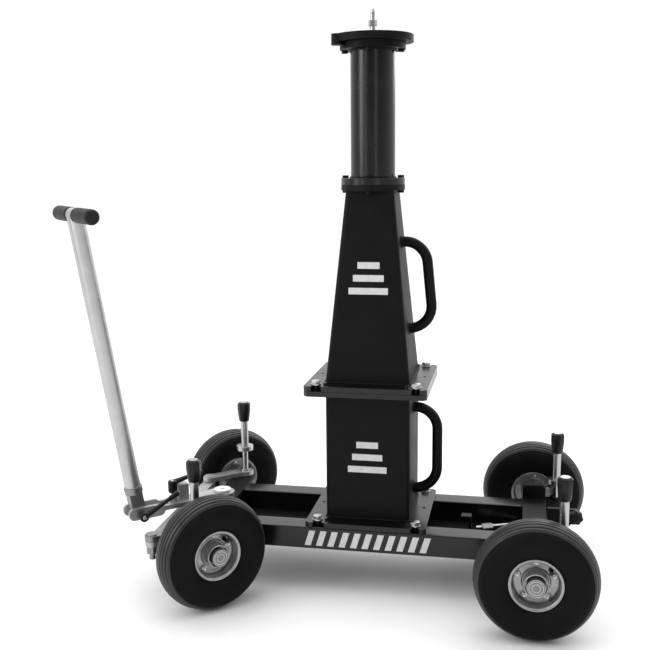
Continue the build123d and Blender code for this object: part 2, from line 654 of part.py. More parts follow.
def square_flange(label, low, corner, riser_foot):
    """A square plate; under a riser's foot its bolt holes are slots open to the edges."""
    base = COLUMN.offset(low)
    with BuildPart() as flange:
        with BuildSketch(base):
            with BuildSketch(base) as outline:
                Rectangle(FLANGE, FLANGE)
                chamfer(outline.vertices(), corner)
            Rectangle(BORE_SIDE, BORE_SIDE, mode=Mode.SUBTRACT)
            for end in (-1, 1):
                with Locations((end * DOWEL_HOLE[0], 0)):
                    Circle(DOWEL_HOLE[1], mode=Mode.SUBTRACT)
                for side in (-1, 1):
                    with Locations((end * FLANGE_BOLT[0], side * FLANGE_BOLT[1])):
                        Circle(SLOT_HALF, mode=Mode.SUBTRACT)
                    if not riser_foot:
                        continue
                    slot_middle = side * (FLANGE_BOLT[1] + FLANGE / 2) / 2
                    with Locations((end * FLANGE_BOLT[0], slot_middle)):
                        Rectangle(2 * SLOT_HALF, FLANGE / 2 - FLANGE_BOLT[1], mode=Mode.SUBTRACT)
            if riser_foot:
                for distance, radius in SLOT_EDGES:
                    fillet(slot_mouths(vertices(), distance), radius)
        extrude(amount=PLATE)
        if riser_foot:
            for end in (-1, 1):
                for side in (-1, 1):
                    nub = Plane(origin=(COLUMN_X + end * NUB_AT[0], side * NUB_AT[1], 0))
                    disc(nub, NUB_R, low + PLATE, low + PLATE + NUB_TALL)
    save(flange, label)


square_flange("base_flange", low=RAIL_TOP, corner=8, riser_foot=True)
square_flange("lower_riser_flange", low=LOWER_TOP, corner=8, riser_foot=False)
square_flange("upper_riser_flange", low=LOWER_TOP + PLATE, corner=8, riser_foot=True)

# ------------------------------------------------------------------ risers
with BuildPart() as lower_riser:
    with BuildSketch(COLUMN.offset(FLANGE_TOP)):
        RectangleRounded(RISER, RISER, CORNER_R)
        RectangleRounded(RISER - 2 * WALL, RISER - 2 * WALL, CORNER_R - WALL, mode=Mode.SUBTRACT)
    extrude(amount=LOWER_TOP - FLANGE_TOP)
save(lower_riser, "lower_riser")

with BuildPart() as upper_riser:
    for shrink, mode in ((0, Mode.ADD), (2 * WALL, Mode.SUBTRACT)):
        with BuildSketch(COLUMN.offset(MID_TOP)):
            RectangleRounded(RISER - shrink, RISER - shrink, CORNER_R - shrink / 2)
        with BuildSketch(COLUMN.offset(UPPER_TOP)):
            RectangleRounded(NECK - shrink, NECK - shrink, CORNER_R - shrink / 2)
        loft(mode=mode)
save(upper_riser, "upper_riser")

# ------------------------------------------------------------------ carrying handles
HANDLE_R = 12.0
HANDLE_OUT = 55.0
HANDLE_BEND = 52.0
HANDLES = {"lower_handle": (217.0, 415.0), "upper_handle": (603.0, 804.0)}


def riser_face(height):
    """Distance of a riser's side face from the column's axis at a height."""
    if height <= LOWER_TOP:
        return RISER / 2
    return RISER / 2 - (RISER - NECK) / 2 * (height - MID_TOP) / (UPPER_TOP - MID_TOP)


for label, (low, high) in HANDLES.items():
    foot = Vector(COLUMN_X + riser_face(low), 0, low)
    head = Vector(COLUMN_X + riser_face(high), 0, high)
    out = Vector(0, 1, 0).cross((head - foot).normalized())
    with BuildPart() as handle:
        with BuildLine() as path:
            FilletPolyline(
                foot,
                foot + out * HANDLE_OUT,
                head + out * HANDLE_OUT,
                head,
                radius=HANDLE_BEND,
            )
        with BuildSketch(Plane(origin=foot, z_dir=out)):
            Circle(HANDLE_R)
        sweep()
    save(handle, label)

# ------------------------------------------------------------------ round column
ROUND_BOLTS = 4
ROUND_BOLT_CIRCLE_R = 64.0
ROUND_BOLT_R = 4.0
ROUND_HEAD_HALF = 6.5
ROUND_HEAD = 6.0
SCREW_DEPTH = 9.0         # disc left above the head bolts
CAP_LEDGE = 4.0
COLUMN_BORE_R = COLUMN_R - WALL


def round_flange(label, radius, low, high, bore):
    """A round plate with a ring of bolt holes."""
    with BuildPart() as plate:
        with BuildSketch(COLUMN.offset(low)):
            Circle(radius)
            Circle(bore, mode=Mode.SUBTRACT)
            with PolarLocations(ROUND_BOLT_CIRCLE_R, ROUND_BOLTS):
                Circle(ROUND_BOLT_R + BOLT_HOLE_GAP / 2, mode=Mode.SUBTRACT)
        extrude(amount=high - low)
    save(plate, label)


round_flange("upper_riser_cap", ROUND_FLANGE_R, UPPER_TOP, NECK_TOP, COLUMN_BORE_R - CAP_LEDGE)
round_flange("column_foot_flange", ROUND_FLANGE_R, NECK_TOP, FOOT_TOP, COLUMN_BORE_R)
round_flange("column_head_flange", ROUND_FLANGE_R + 1, COLUMN_TOP, HEAD_TOP, COLUMN_BORE_R)

with BuildPart() as column_tube:
    with BuildSketch(COLUMN.offset(FOOT_TOP)):
        Circle(COLUMN_R)
        Circle(COLUMN_BORE_R, mode=Mode.SUBTRACT)
    extrude(amount=COLUMN_TOP - FOOT_TOP)
save(column_tube, "column_tube")

with BuildPart() as column_bolts:
    for low, high, head_above in ((UPPER_TOP, FOOT_TOP, True), (COLUMN_TOP, DISC_TOP - SCREW_DEPTH, False)):
        with BuildSketch(COLUMN.offset(low - ROUND_HEAD)):
            with PolarLocations(ROUND_BOLT_CIRCLE_R, ROUND_BOLTS):
                RegularPolygon(ROUND_HEAD_HALF, 6, major_radius=False)
        extrude(amount=ROUND_HEAD)
        with BuildSketch(COLUMN.offset(low)):
            with PolarLocations(ROUND_BOLT_CIRCLE_R, ROUND_BOLTS):
                Circle(ROUND_BOLT_R)
        extrude(amount=high - low)
        if head_above:
            with BuildSketch(COLUMN.offset(high)):
                with PolarLocations(ROUND_BOLT_CIRCLE_R, ROUND_BOLTS):
                    RegularPolygon(ROUND_HEAD_HALF, 6, major_radius=False)
            extrude(amount=ROUND_HEAD)
save(column_bolts, "column_bolts")

# ------------------------------------------------------------------ head disc and stud
LUG_AT = (-72.0, -50.0)
LUG_R = 13.0
LUG_LOW = 1240.0
STUD_TOP = 1316.0
STUD_TIP = 1321.0
STUD_TIP_R = 3.25
RELIEF = (4.8, 1.0)       # radius and height of the groove where the thin end starts
NUT_LOW = 1284.0
NUT_TOP = 1297.0
NUT_R = 10.0
STUD_LOWER_R = 6.5        # the stud below and inside its nut
STUD_HEAD = (9.25, 8.0)   # radius and height of its head under the disc

with BuildPart() as mount_disc:
    disc(COLUMN, DISC_R, HEAD_TOP, DISC_TOP)
    lug = Plane(origin=(COLUMN_X + LUG_AT[0], LUG_AT[1], 0))
    disc(lug, LUG_R, LUG_LOW, DISC_TOP)
    disc(COLUMN, STUD_LOWER_R + RUNNING, HEAD_TOP, DISC_TOP, mode=Mode.SUBTRACT)
    with Locations(COLUMN.offset(HEAD_TOP)):
        with PolarLocations(ROUND_BOLT_CIRCLE_R, ROUND_BOLTS):
            Cylinder(ROUND_BOLT_R + BOLT_HOLE_GAP / 2, 2 * (DISC_PLATE - SCREW_DEPTH), mode=Mode.SUBTRACT)
save(mount_disc, "mount_disc")

with BuildPart() as mount_stud:
    disc(COLUMN, STUD_HEAD[0], HEAD_TOP - STUD_HEAD[1], HEAD_TOP)
    disc(COLUMN, STUD_LOWER_R, HEAD_TOP, NUT_TOP - RELIEF[1])
    disc(COLUMN, RELIEF[0], NUT_TOP - RELIEF[1], NUT_TOP)
    disc(COLUMN, STUD_R, NUT_TOP, STUD_TOP)
    disc(COLUMN, STUD_TIP_R, STUD_TOP, STUD_TIP)
save(mount_stud, "mount_stud")

with BuildPart() as stud_nut:
    with BuildSketch(COLUMN.offset(NUT_LOW)):
        RegularPolygon(NUT_R, 6)
        Circle(STUD_LOWER_R + RUNNING, mode=Mode.SUBTRACT)
    extrude(amount=NUT_TOP - NUT_LOW)
save(stud_nut, "stud_nut")

# ------------------------------------------------------------------ flange bolts
HEAD_HALF = 9.5
HEAD_TALL = 8.0
WASHER_R = 12.0
WASHER = 2.5
SHANK_SHORT = 1.0         # the bolts stop this far inside the lower plate

with BuildPart() as flange_bolts:
    spots = [(x * FLANGE_BOLT[0], y * FLANGE_BOLT[1]) for x in (-1, 1) for y in (-1, 1)]
    for top, bottom in ((FLANGE_TOP, RAIL_TOP - RAIL_WALL), (MID_TOP, LOWER_TOP + SHANK_SHORT)):
        for low, high, radius in ((bottom, top, BOLT_R), (top, top + WASHER, WASHER_R)):
            with BuildSketch(COLUMN.offset(low)):
                with Locations(*spots):
                    Circle(radius)
            extrude(amount=high - low)
        with BuildSketch(COLUMN.offset(top + WASHER)):
            with Locations(*spots):
                RegularPolygon(HEAD_HALF, 6, major_radius=False)
        extrude(amount=HEAD_TALL)
save(flange_bolts, "flange_bolts")

# ------------------------------------------------------------------ small fittings
BRACKET_AT = (230.0, -10.0)
BRACKET_HALF = 12.0
BRACKET_TALL = 53.0
BRACKET_THICK = 6.0
BRACKET_LIP = 18.0
ROD_FROM = (245.0, 26.0)
ROD_TURN = 24.0
ROD_LONG = 108.0
ROD_R = 4.5
ROD_HEX_AT = 15.0
ROD_HEX_HALF = 8.0
ROD_HEX_LONG = 26.0
TONGUE_LOW = 106.0        # the upright tongue behind the rear beam
TONGUE_TOP = 192.0
TONGUE_SPAN = (-25.0, -13.0)
TONGUE_END_R = 14.0
KNOB_AT = (90.0, 178.0)   # behind the rear axle line, and height
KNOB_R = 17.0
KNOB_CORE_R = 14.0
KNOB_TALL = 18.0
KNOB_GAP = 1.0
KNOB_LOBES = 7
KNOB_LOBE_R = 4.5
KNOB_LOBE_TALL = 15.0

with BuildPart() as rod_bracket:
    floor_top = RAIL_LOW + WALL
    bracket = Plane(origin=(COLUMN_X + BRACKET_AT[0], BRACKET_AT[1], floor_top))
    across_span = (-BRACKET_HALF, BRACKET_HALF)
    block(bracket, (0, BRACKET_THICK), across_span, (0, BRACKET_TALL))
    block(bracket, (-BRACKET_LIP, 0), across_span, (BRACKET_TALL - BRACKET_THICK, BRACKET_TALL))
save(rod_bracket, "rod_bracket")

rod_dir = Vector(cos(radians(ROD_TURN)), sin(radians(ROD_TURN)), 0)
rod_plane = Plane(
    origin=(COLUMN_X + ROD_FROM[0], ROD_FROM[1], RAIL_LOW + WALL + ROD_HEX_HALF),
    x_dir=UP,
    z_dir=rod_dir,
)
with BuildPart() as stowed_rod:
    disc(rod_plane, ROD_R, 0, ROD_LONG)
    with BuildSketch(rod_plane.offset(ROD_HEX_AT)):
        RegularPolygon(ROD_HEX_HALF, 6, major_radius=False, rotation=30)
    extrude(amount=ROD_HEX_LONG)
save(stowed_rod, "stowed_rod")

# the tongue's section plane: X runs to the rear, Y up, and its normal to the left
tongue_plane = Plane(origin=(REAR_X, 0, 0), x_dir=(1, 0, 0), z_dir=(0, -1, 0))
knob_axis = Plane(origin=(REAR_X + KNOB_AT[0], 0, KNOB_AT[1]), x_dir=(1, 0, 0), z_dir=(0, -1, 0))
with BuildPart() as rear_tongue:
    with BuildSketch(tongue_plane.offset(-TONGUE_SPAN[1])):
        with BuildLine():
            Polyline(
                (BEAM_WIDE / 2, TONGUE_LOW),
                (KNOB_AT[0], KNOB_AT[1] - TONGUE_END_R),
                (KNOB_AT[0], TONGUE_TOP),
                (BEAM_WIDE / 2, TONGUE_TOP),
                close=True,
            )
        make_face()
        with Locations(KNOB_AT):
            Circle(TONGUE_END_R)
            Circle(LEVER_STUD_R + RUNNING, mode=Mode.SUBTRACT)
    extrude(amount=TONGUE_SPAN[1] - TONGUE_SPAN[0])
save(rear_tongue, "rear_tongue")

with BuildPart() as star_knob:
    knob_low = KNOB_GAP - TONGUE_SPAN[0]
    foot_up = (Align.CENTER, Align.CENTER, Align.MIN)
    disc(knob_axis, LEVER_STUD_R, -TONGUE_SPAN[1], knob_low)
    disc(knob_axis, KNOB_CORE_R, knob_low, knob_low + KNOB_TALL)
    with Locations(knob_axis.offset(knob_low)):
        with PolarLocations(KNOB_R - KNOB_LOBE_R / 2, KNOB_LOBES):
            Cylinder(KNOB_LOBE_R, KNOB_LOBE_TALL, align=foot_up)
save(star_knob, "star_knob")
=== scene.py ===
"""Looks of the wheeled crane base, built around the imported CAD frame.  Metres, +Z up."""

import json
from math import cos, pi, radians, sin, tan

import bmesh
import bpy
from mathutils import Matrix, Vector


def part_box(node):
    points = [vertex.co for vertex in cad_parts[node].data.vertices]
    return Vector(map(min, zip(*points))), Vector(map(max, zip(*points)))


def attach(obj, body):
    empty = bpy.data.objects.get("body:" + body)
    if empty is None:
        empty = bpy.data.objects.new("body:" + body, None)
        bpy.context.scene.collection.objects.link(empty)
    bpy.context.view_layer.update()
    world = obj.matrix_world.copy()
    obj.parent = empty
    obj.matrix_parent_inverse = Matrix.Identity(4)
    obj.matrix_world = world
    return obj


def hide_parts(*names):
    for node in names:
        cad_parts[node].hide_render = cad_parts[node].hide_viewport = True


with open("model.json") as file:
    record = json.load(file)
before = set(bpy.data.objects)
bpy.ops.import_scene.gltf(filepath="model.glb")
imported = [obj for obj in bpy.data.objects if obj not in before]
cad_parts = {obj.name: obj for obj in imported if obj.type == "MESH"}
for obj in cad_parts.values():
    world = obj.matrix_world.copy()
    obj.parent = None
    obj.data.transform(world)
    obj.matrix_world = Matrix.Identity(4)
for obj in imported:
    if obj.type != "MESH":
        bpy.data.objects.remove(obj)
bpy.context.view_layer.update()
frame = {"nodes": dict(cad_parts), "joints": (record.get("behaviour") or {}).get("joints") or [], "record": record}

UP = Vector((0, 0, 1))
MM = 0.001
PLACES = ("front_left", "front_right", "rear_left", "rear_right")
JOINTS = {joint["name"]: joint for joint in frame["joints"]}


def middle_of(node):
    """The centre of a CAD node's box."""
    low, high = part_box(node)
    return (low + high) / 2


def joint_axis(name):
    return Vector(JOINTS[name]["axis"]).normalized()


COLUMN = Vector((middle_of("column_tube").x, 0, 0))

# ------------------------------------------------------------------ camera, floor and lights
CAMERA_FROM_COLUMN = Vector((0.3337, -2.1937, 0.9833))
CAMERA_YAW = 11.58        # degrees towards the front (-X) from straight across the chassis
CAMERA_PITCH = 9.58       # degrees below level
CAMERA_ROLL = -0.58
CAMERA_LENS = 52.99
SENSOR_WIDE = 36.0
FLOOR_R = 60.0
# the surround's brightness: from a direction's Y or Z value to a brightness
SKY_BEHIND = (-0.80, 0.60, 0.18, 1.0)
SKY_ABOVE = (0.10, 0.95, 0.0, 1.0)


def make_camera():
    data = bpy.data.cameras.new("camera")
    data.lens = CAMERA_LENS
    data.sensor_width = SENSOR_WIDE
    data.clip_end = 200.0
    camera = bpy.data.objects.new("camera", data)
    turn = Matrix.Rotation(radians(CAMERA_YAW), 4, "Z")
    tilt = Matrix.Rotation(radians(90 - CAMERA_PITCH), 4, "X")
    roll = Matrix.Rotation(radians(CAMERA_ROLL), 4, "Z")
    camera.matrix_world = Matrix.Translation(COLUMN + CAMERA_FROM_COLUMN) @ turn @ tilt @ roll
    bpy.context.scene.collection.objects.link(camera)
    bpy.context.scene.camera = camera


def make_area_light(name, offset, size, power, aim=0.5):
    """A rectangular soft box, placed from the column's foot and aimed at a height on it."""
    place = COLUMN + Vector(offset)
    target = COLUMN + UP * aim
    data = bpy.data.lights.new(name, "AREA")
    data.shape = "RECTANGLE"
    data.size, data.size_y = size
    data.energy = power
    light = bpy.data.objects.new(name, data)
    light.location = place
    light.rotation_euler = (target - place).to_track_quat("-Z", "Y").to_euler()
    bpy.context.scene.collection.objects.link(light)


def make_studio():
    """A white surround that is dimmer on the camera's side, and soft boxes."""
    scene = bpy.context.scene
    scene.view_settings.view_transform = "Standard"
    world = bpy.data.worlds.new("studio")
    scene.world = world
    world.use_nodes = True
    nodes, links = world.node_tree.nodes, world.node_tree.links
    place = nodes.new("ShaderNodeTexCoord")
    split = nodes.new("ShaderNodeSeparateXYZ")
    links.new(place.outputs["Generated"], split.inputs[0])
    total = nodes.new("ShaderNodeMath")
    for slot, (direction, span) in enumerate((("Y", SKY_BEHIND), ("Z", SKY_ABOVE))):
        ramp = nodes.new("ShaderNodeMapRange")
        ramp.interpolation_type = "SMOOTHSTEP"
        for socket, value in zip(("From Min", "From Max", "To Min", "To Max"), span):
            ramp.inputs[socket].default_value = value
        links.new(split.outputs[direction], ramp.inputs["Value"])
        links.new(ramp.outputs["Result"], total.inputs[slot])
    links.new(total.outputs[0], nodes["Background"].inputs["Color"])

    make_area_light("top_box", (-0.6, 0.2, 3.4), (2.6, 2.6), power=20)
    make_area_light("left_box", (-3.0, -2.2, 1.9), (1.2, 2.0), power=44)
    make_area_light("left_strip", (-1.7, -3.0, 1.5), (0.2, 2.4), power=7, aim=1.0)
    make_area_light("right_strip", (1.3, -2.9, 1.5), (0.2, 2.4), power=5, aim=1.0)
    make_area_light("back_box", (1.4, 3.2, 2.2), (2.4, 1.6), power=30)


def make_floor():
    mesh = bpy.data.meshes.new("floor")
    shape = bmesh.new()
    bmesh.ops.create_circle(shape, cap_ends=True, segments=96, radius=FLOOR_R)
    shape.to_mesh(mesh)
    shape.free()
    floor = bpy.data.objects.new("floor", mesh)
    floor.data.materials.append(FLOOR_PAINT)
    bpy.context.scene.collection.objects.link(floor)


# ------------------------------------------------------------------ materials
class Shader:
    """A Principled material and short ways to hang noise on it."""

    def __init__(self, name, **values):
        self.material = bpy.data.materials.new(name)
        self.material.use_nodes = True
        self.nodes = self.material.node_tree.nodes
        self.links = self.material.node_tree.links
        self.surface = self.nodes["Principled BSDF"]
        for socket, value in values.items():
            self.surface.inputs[socket.replace("_", " ")].default_value = value

    def noise(self, scale, detail=3.0, stretch=(1, 1, 1), turn=(0, 0, 0), rough=0.5):
        """Noise in the piece's own space; stretch below one draws it out along that axis."""
        place = self.nodes.new("ShaderNodeTexCoord")
        mapping = self.nodes.new("ShaderNodeMapping")
        mapping.vector_type = "TEXTURE"
        mapping.inputs["Rotation"].default_value = turn
        mapping.inputs["Scale"].default_value = [1 / value for value in stretch]
        noise = self.nodes.new("ShaderNodeTexNoise")
        noise.inputs["Scale"].default_value = scale
        noise.inputs["Detail"].default_value = detail
        noise.inputs["Roughness"].default_value = rough
        self.links.new(place.outputs["Object"], mapping.inputs["Vector"])
        self.links.new(mapping.outputs["Vector"], noise.inputs["Vector"])
        return noise.outputs["Fac"]

    def spread(self, value, low, high, start=0.3, end=0.7):
        """Map a noise value between two numbers."""
        node = self.nodes.new("ShaderNodeMapRange")
        node.inputs["From Min"].default_value = start
        node.inputs["From Max"].default_value = end
        node.inputs["To Min"].default_value = low
        node.inputs["To Max"].default_value = high
        self.links.new(value, node.inputs["Value"])
        return node.outputs["Result"]

    def colour(self, value, *stops):
        ramp = self.nodes.new("ShaderNodeValToRGB")
        elements = ramp.color_ramp.elements
        while len(elements) < len(stops):
            elements.new(0.5)
        for element, (place, tint) in zip(elements, stops):
            element.position = place
            element.color = (*tint, 1)
        self.links.new(value, ramp.inputs["Fac"])
        self.links.new(ramp.outputs["Color"], self.surface.inputs["Base Color"])

    def roughness(self, value, low, high):
        self.links.new(self.spread(value, low, high), self.surface.inputs["Roughness"])

    def bump(self, value, height, strength=1.0):
        """Add a bump layer of a real height in metres on top of those there already."""
        node = self.nodes.new("ShaderNodeBump")
        node.inputs["Strength"].default_value = strength
        node.inputs["Distance"].default_value = height
        self.links.new(value, node.inputs["Height"])
        normal = self.surface.inputs["Normal"]
        if normal.is_linked:
            self.links.new(normal.links[0].from_socket, node.inputs["Normal"])
        self.links.new(node.outputs["Normal"], normal)


def grey(value, warm=0.0):
    return (value * (1 + warm), value, value * (1 - warm))


def make_powder_coat(name, sheen, low, high):
    """Black powder coat: fine orange peel, faint scuffs and dust."""
    paint = Shader(name, Specular_IOR_Level=sheen)
    scuffs = paint.noise(16, 6, rough=0.62)
    paint.colour(scuffs, (0.3, grey(0.0020)), (0.62, grey(0.0034)), (0.8, grey(0.007, 0.02)))
    paint.roughness(scuffs, low, high)
    paint.bump(paint.noise(520, 2), 0.00016, 0.5)
    paint.bump(paint.noise(1500, 2), 0.00008, 0.4)
    return paint.material


def make_brushed(name, tone, along, rough=(0.26, 0.42)):
    """Bare metal with fine scratches drawn out along a direction."""
    metal = Shader(name, Metallic=1.0)
    turn = Vector(along).to_track_quat("Z", "Y").to_euler()
    hairs = metal.noise(900, 4, (1, 1, 0.02), turn)
    clouds = metal.noise(22, 5)
    metal.colour(clouds, (0.3, grey(tone * 0.86)), (0.7, grey(tone)))
    metal.roughness(clouds, *rough)
    metal.bump(hairs, 0.00006, 0.55)
    return metal.material


def make_steel(name, tone, low, high):
    """Plated steel with a slightly uneven sheen."""
    metal = Shader(name, Metallic=1.0)
    clouds = metal.noise(60, 5)
    metal.colour(clouds, (0.3, grey(tone * 0.92, 0.01)), (0.7, grey(tone, 0.01)))
    metal.roughness(clouds, low, high)
    metal.bump(metal.noise(700, 3), 0.00001, 0.2)
    return metal.material


def make_tyre_rubber(name, tone, sheen, low, high):
    """Black rubber, a little dusty, with a moulded grain."""
    rubber = Shader(name, Specular_IOR_Level=sheen)
    dust = rubber.noise(30, 6, rough=0.6)
    rubber.colour(dust, (0.35, grey(tone)), (0.6, grey(tone * 1.5)), (0.8, grey(tone * 3, 0.04)))
    rubber.roughness(dust, low, high)
    rubber.bump(rubber.noise(900, 3), 0.00012, 0.4)
    return rubber.material


def make_rim_paint():
    """Silver sprayed pressed steel."""
    paint = Shader("silver_rim", Metallic=0.85, Coat_Weight=0.2, Coat_Roughness=0.2)
    clouds = paint.noise(45, 5)
    paint.colour(clouds, (0.3, grey(0.27)), (0.7, grey(0.40)))
    paint.roughness(clouds, 0.28, 0.40)
    paint.bump(paint.noise(420, 2), 0.00012, 0.35)
    return paint.material


def make_moulded(name, tone, low, high, grain, height):
    """Moulded black plastic or rubber with a fine grain."""
    plastic = Shader(name, Specular_IOR_Level=0.28)
    clouds = plastic.noise(40, 4)
    plastic.colour(clouds, (0.3, grey(tone * 0.8)), (0.75, grey(tone * 1.3)))
    plastic.roughness(clouds, low, high)
    plastic.bump(plastic.noise(grain, 3), height, 0.5)
    return plastic.material


def make_marking():
    """Light grey vinyl film for the plain markings."""
    film = Shader("marking_film", Specular_IOR_Level=0.4)
    clouds = film.noise(80, 4)
    film.colour(clouds, (0.3, grey(0.52)), (0.7, grey(0.60)))
    film.roughness(clouds, 0.36, 0.48)
    film.bump(film.noise(600, 2), 0.00004, 0.3)
    return film.material


def make_floor_paint():
    paint = Shader("floor_paint", Specular_IOR_Level=0.1)
    clouds = paint.noise(1.5, 3)
    paint.colour(clouds, (0.3, grey(0.78)), (0.7, grey(0.80)))
    paint.roughness(clouds, 0.8, 0.9)
    return paint.material


SIDE = joint_axis("tow_bar_tilt")
FORWARD = SIDE.cross(UP)
BAR = (middle_of("tow_cross_bar") - middle_of("tow_tube")).normalized()
FLOOR_PAINT = make_floor_paint()
COAT = make_powder_coat("black_powder_coat", 0.13, 0.46, 0.56)
GLOSS_COAT = make_powder_coat("black_gloss_coat", 0.40, 0.20, 0.28)
ALLOY = make_brushed("machined_aluminium", 0.46, FORWARD, (0.44, 0.56))
TUBE_ALLOY = make_brushed("drawn_aluminium", 0.50, BAR, (0.34, 0.44))
DARK_ALLOY = make_brushed("dull_aluminium", 0.28, BAR, (0.36, 0.48))
STEEL = make_steel("bright_steel", 0.48, 0.24, 0.34)
CAP_STEEL = make_steel("dull_steel", 0.22, 0.34, 0.44)
WHITE_STEEL = make_steel("satin_steel", 0.80, 0.40, 0.50)
# steel painted near-black: painted shade for the bolt shanks in the flange slots
SHANK_SHADE_STEEL = make_steel("steel_painted_shade", 0.03, 0.40, 0.50)
RUBBER = make_tyre_rubber("tyre_rubber", 0.0024, 0.10, 0.50, 0.66)
# tread rubber: glossier, and five times lighter in colour, a painted highlight on the tread
TREAD_HIGHLIGHT_RUBBER = make_tyre_rubber("tread_rubber_painted_highlight", 0.012, 0.45, 0.34, 0.48)
RIM = make_rim_paint()
PLASTIC = make_moulded("black_plastic", 0.004, 0.28, 0.38, 1100, 0.00007)
GRIP = make_moulded("grip_rubber", 0.006, 0.50, 0.62, 700, 0.00018)
MARKING = make_marking()

SLOT_MATERIAL = {
    "black_powder_coat": COAT,
    "machined_aluminium": ALLOY,
    "bright_steel": STEEL,
    "tyre_rubber": RUBBER,
    "silver_rim": RIM,
    "black_plastic": PLASTIC,
    "grip_rubber": GRIP,
}
NODE_MATERIAL = {
    "base_flange": GLOSS_COAT,
    "lower_riser_flange": GLOSS_COAT,
    "upper_riser_flange": GLOSS_COAT,
    "column_tube": GLOSS_COAT,
    "column_foot_flange": GLOSS_COAT,
    "left_rail": GLOSS_COAT,
    "right_rail": GLOSS_COAT,
    "left_steering_arm": DARK_ALLOY,
    "tow_tube": TUBE_ALLOY,
    "tow_socket": DARK_ALLOY,
    "drawbar_pivot": WHITE_STEEL,
}

# ------------------------------------------------------------------ CAD nodes: materials and soft edges
# widths of the rounded edges, in millimetres
EDGE_WIDTH = {"black_powder_coat": 0.7, "machined_aluminium": 0.5, "bright_steel": 0.4}
OTHER_EDGE_WIDTH = 0.4
SHARP = radians(32)
FLAT = radians(0.4)
WELD_WITHIN = 0.01


def dress_cad_nodes():
    """Give every CAD node its material, smooth shading and rounded edges."""
    slots = {row["node"]: row["material_slot"] for row in frame["record"]["subparts"]}
    for name, node in frame["nodes"].items():
        slot = slots[name]
        node.data.materials.clear()
        node.data.materials.append(NODE_MATERIAL.get(name, SLOT_MATERIAL[slot]))
        if "custom_normal" in node.data.attributes:
            node.data.attributes.remove(node.data.attributes["custom_normal"])
        for polygon in node.data.polygons:
            polygon.use_smooth = True
        weld = node.modifiers.new("weld", "WELD")
        weld.merge_threshold = WELD_WITHIN * MM
        flat = node.modifiers.new("flat", "DECIMATE")
        flat.decimate_type = "DISSOLVE"
        flat.angle_limit = FLAT
        edge = node.modifiers.new("edge", "BEVEL")
        edge.width = EDGE_WIDTH.get(slot, OTHER_EDGE_WIDTH) * MM
        edge.segments = 2
        edge.limit_method = "ANGLE"
        edge.angle_limit = SHARP
        edge.use_clamp_overlap = False
        edge.harden_normals = True


dress_cad_nodes()

# ------------------------------------------------------------------ mesh helpers
def add_piece(name, shape, body, material, smooth=True, sharp=SHARP):
    """Turn a bmesh in the row frame into a piece that rides on a body."""
    bmesh.ops.recalc_face_normals(shape, faces=shape.faces)
    mesh = bpy.data.meshes.new(name)
    shape.to_mesh(mesh)
    shape.free()
    for polygon in mesh.polygons:
        polygon.use_smooth = smooth
    if smooth:
        mesh.set_sharp_from_angle(angle=sharp)
    piece = bpy.data.objects.new(name, mesh)
    piece.data.materials.append(material)
    bpy.context.scene.collection.objects.link(piece)
    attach(piece, body)
    return piece


def facing(origin, axis, toward=None):
    """A matrix whose Z is an axis, at a place; X leans to toward if it is given."""
    z = Vector(axis).normalized()
    x = Vector(toward) if toward is not None else z.orthogonal()
    x = (x - z * x.dot(z)).normalized()
    y = z.cross(x)
    rows = Matrix((x, y, z)).transposed().to_4x4()
    return Matrix.Translation(origin) @ rows


def add_rings(shape, place, rings, closed=False):
    """Skin a list of rings, each a list of local points, in the given place."""
    made = [[shape.verts.new(place @ Vector(point)) for point in ring] for ring in rings]
    count = len(made[0])
    pairs = list(zip(made, made[1:] + made[:1])) if closed else list(zip(made, made[1:]))
    for low, high in pairs:
        for i in range(count):
            j = (i + 1) % count
            shape.faces.new((low[i], low[j], high[j], high[i]))
    if not closed:
        shape.faces.new(made[0][::-1])
        shape.faces.new(made[-1])


def add_turned(shape, place, profile, segments=72, closed=False):
    """A turned shape: profile is (radius, height) pairs in millimetres."""
    rings = []
    for radius, height in profile:
        turn = [2 * pi * i / segments for i in range(segments)]
        rings.append([(radius * MM * cos(a), radius * MM * sin(a), height * MM) for a in turn])
    add_rings(shape, place, rings, closed)


def add_hexagon(shape, place, half, low, high, segments=72):
    """A hexagon nut or bolt head, across flats twice the half width, with a turned chamfer on top."""
    def ring(height, limit):
        points = []
        for i in range(segments):
            angle = 2 * pi * i / segments
            off = (angle + pi / 6) % (pi / 3) - pi / 6
            radius = min(half / cos(off), limit)
            points.append((radius * MM * cos(angle), radius * MM * sin(angle), height * MM))
        return points

    corner = half / cos(pi / 6)
    face = half * 0.94
    drop = (corner - face) * tan(radians(30))
    rings = [ring(low, corner)]
    rings += [ring(high - drop * t, face + (corner - face) * t) for t in (1.0, 0.67, 0.34, 0.0)]
    add_rings(shape, place, rings)


def add_sweep(shape, points, radius, sides=12, closed=False):
    """A round section carried along points; radius is a number or a function of distance."""
    points = [Vector(point) for point in points]
    total = len(points)
    rings = []
    side = None
    distance = 0.0
    for i, point in enumerate(points):
        before = points[i - 1] if i or closed else point
        after = points[(i + 1) % total] if i + 1 < total or closed else point
        ahead = (after - before).normalized()
        side = ahead.orthogonal() if side is None else side
        side = (side - ahead * side.dot(ahead)).normalized()
        other = ahead.cross(side)
        size = radius(distance) if callable(radius) else radius
        turn = [2 * pi * k / sides for k in range(sides)]
        rings.append([point + (side * cos(a) + other * sin(a)) * size for a in turn])
        if i + 1 < total:
            distance += (points[i + 1] - point).length
    add_rings(shape, Matrix.Identity(4), rings, closed)


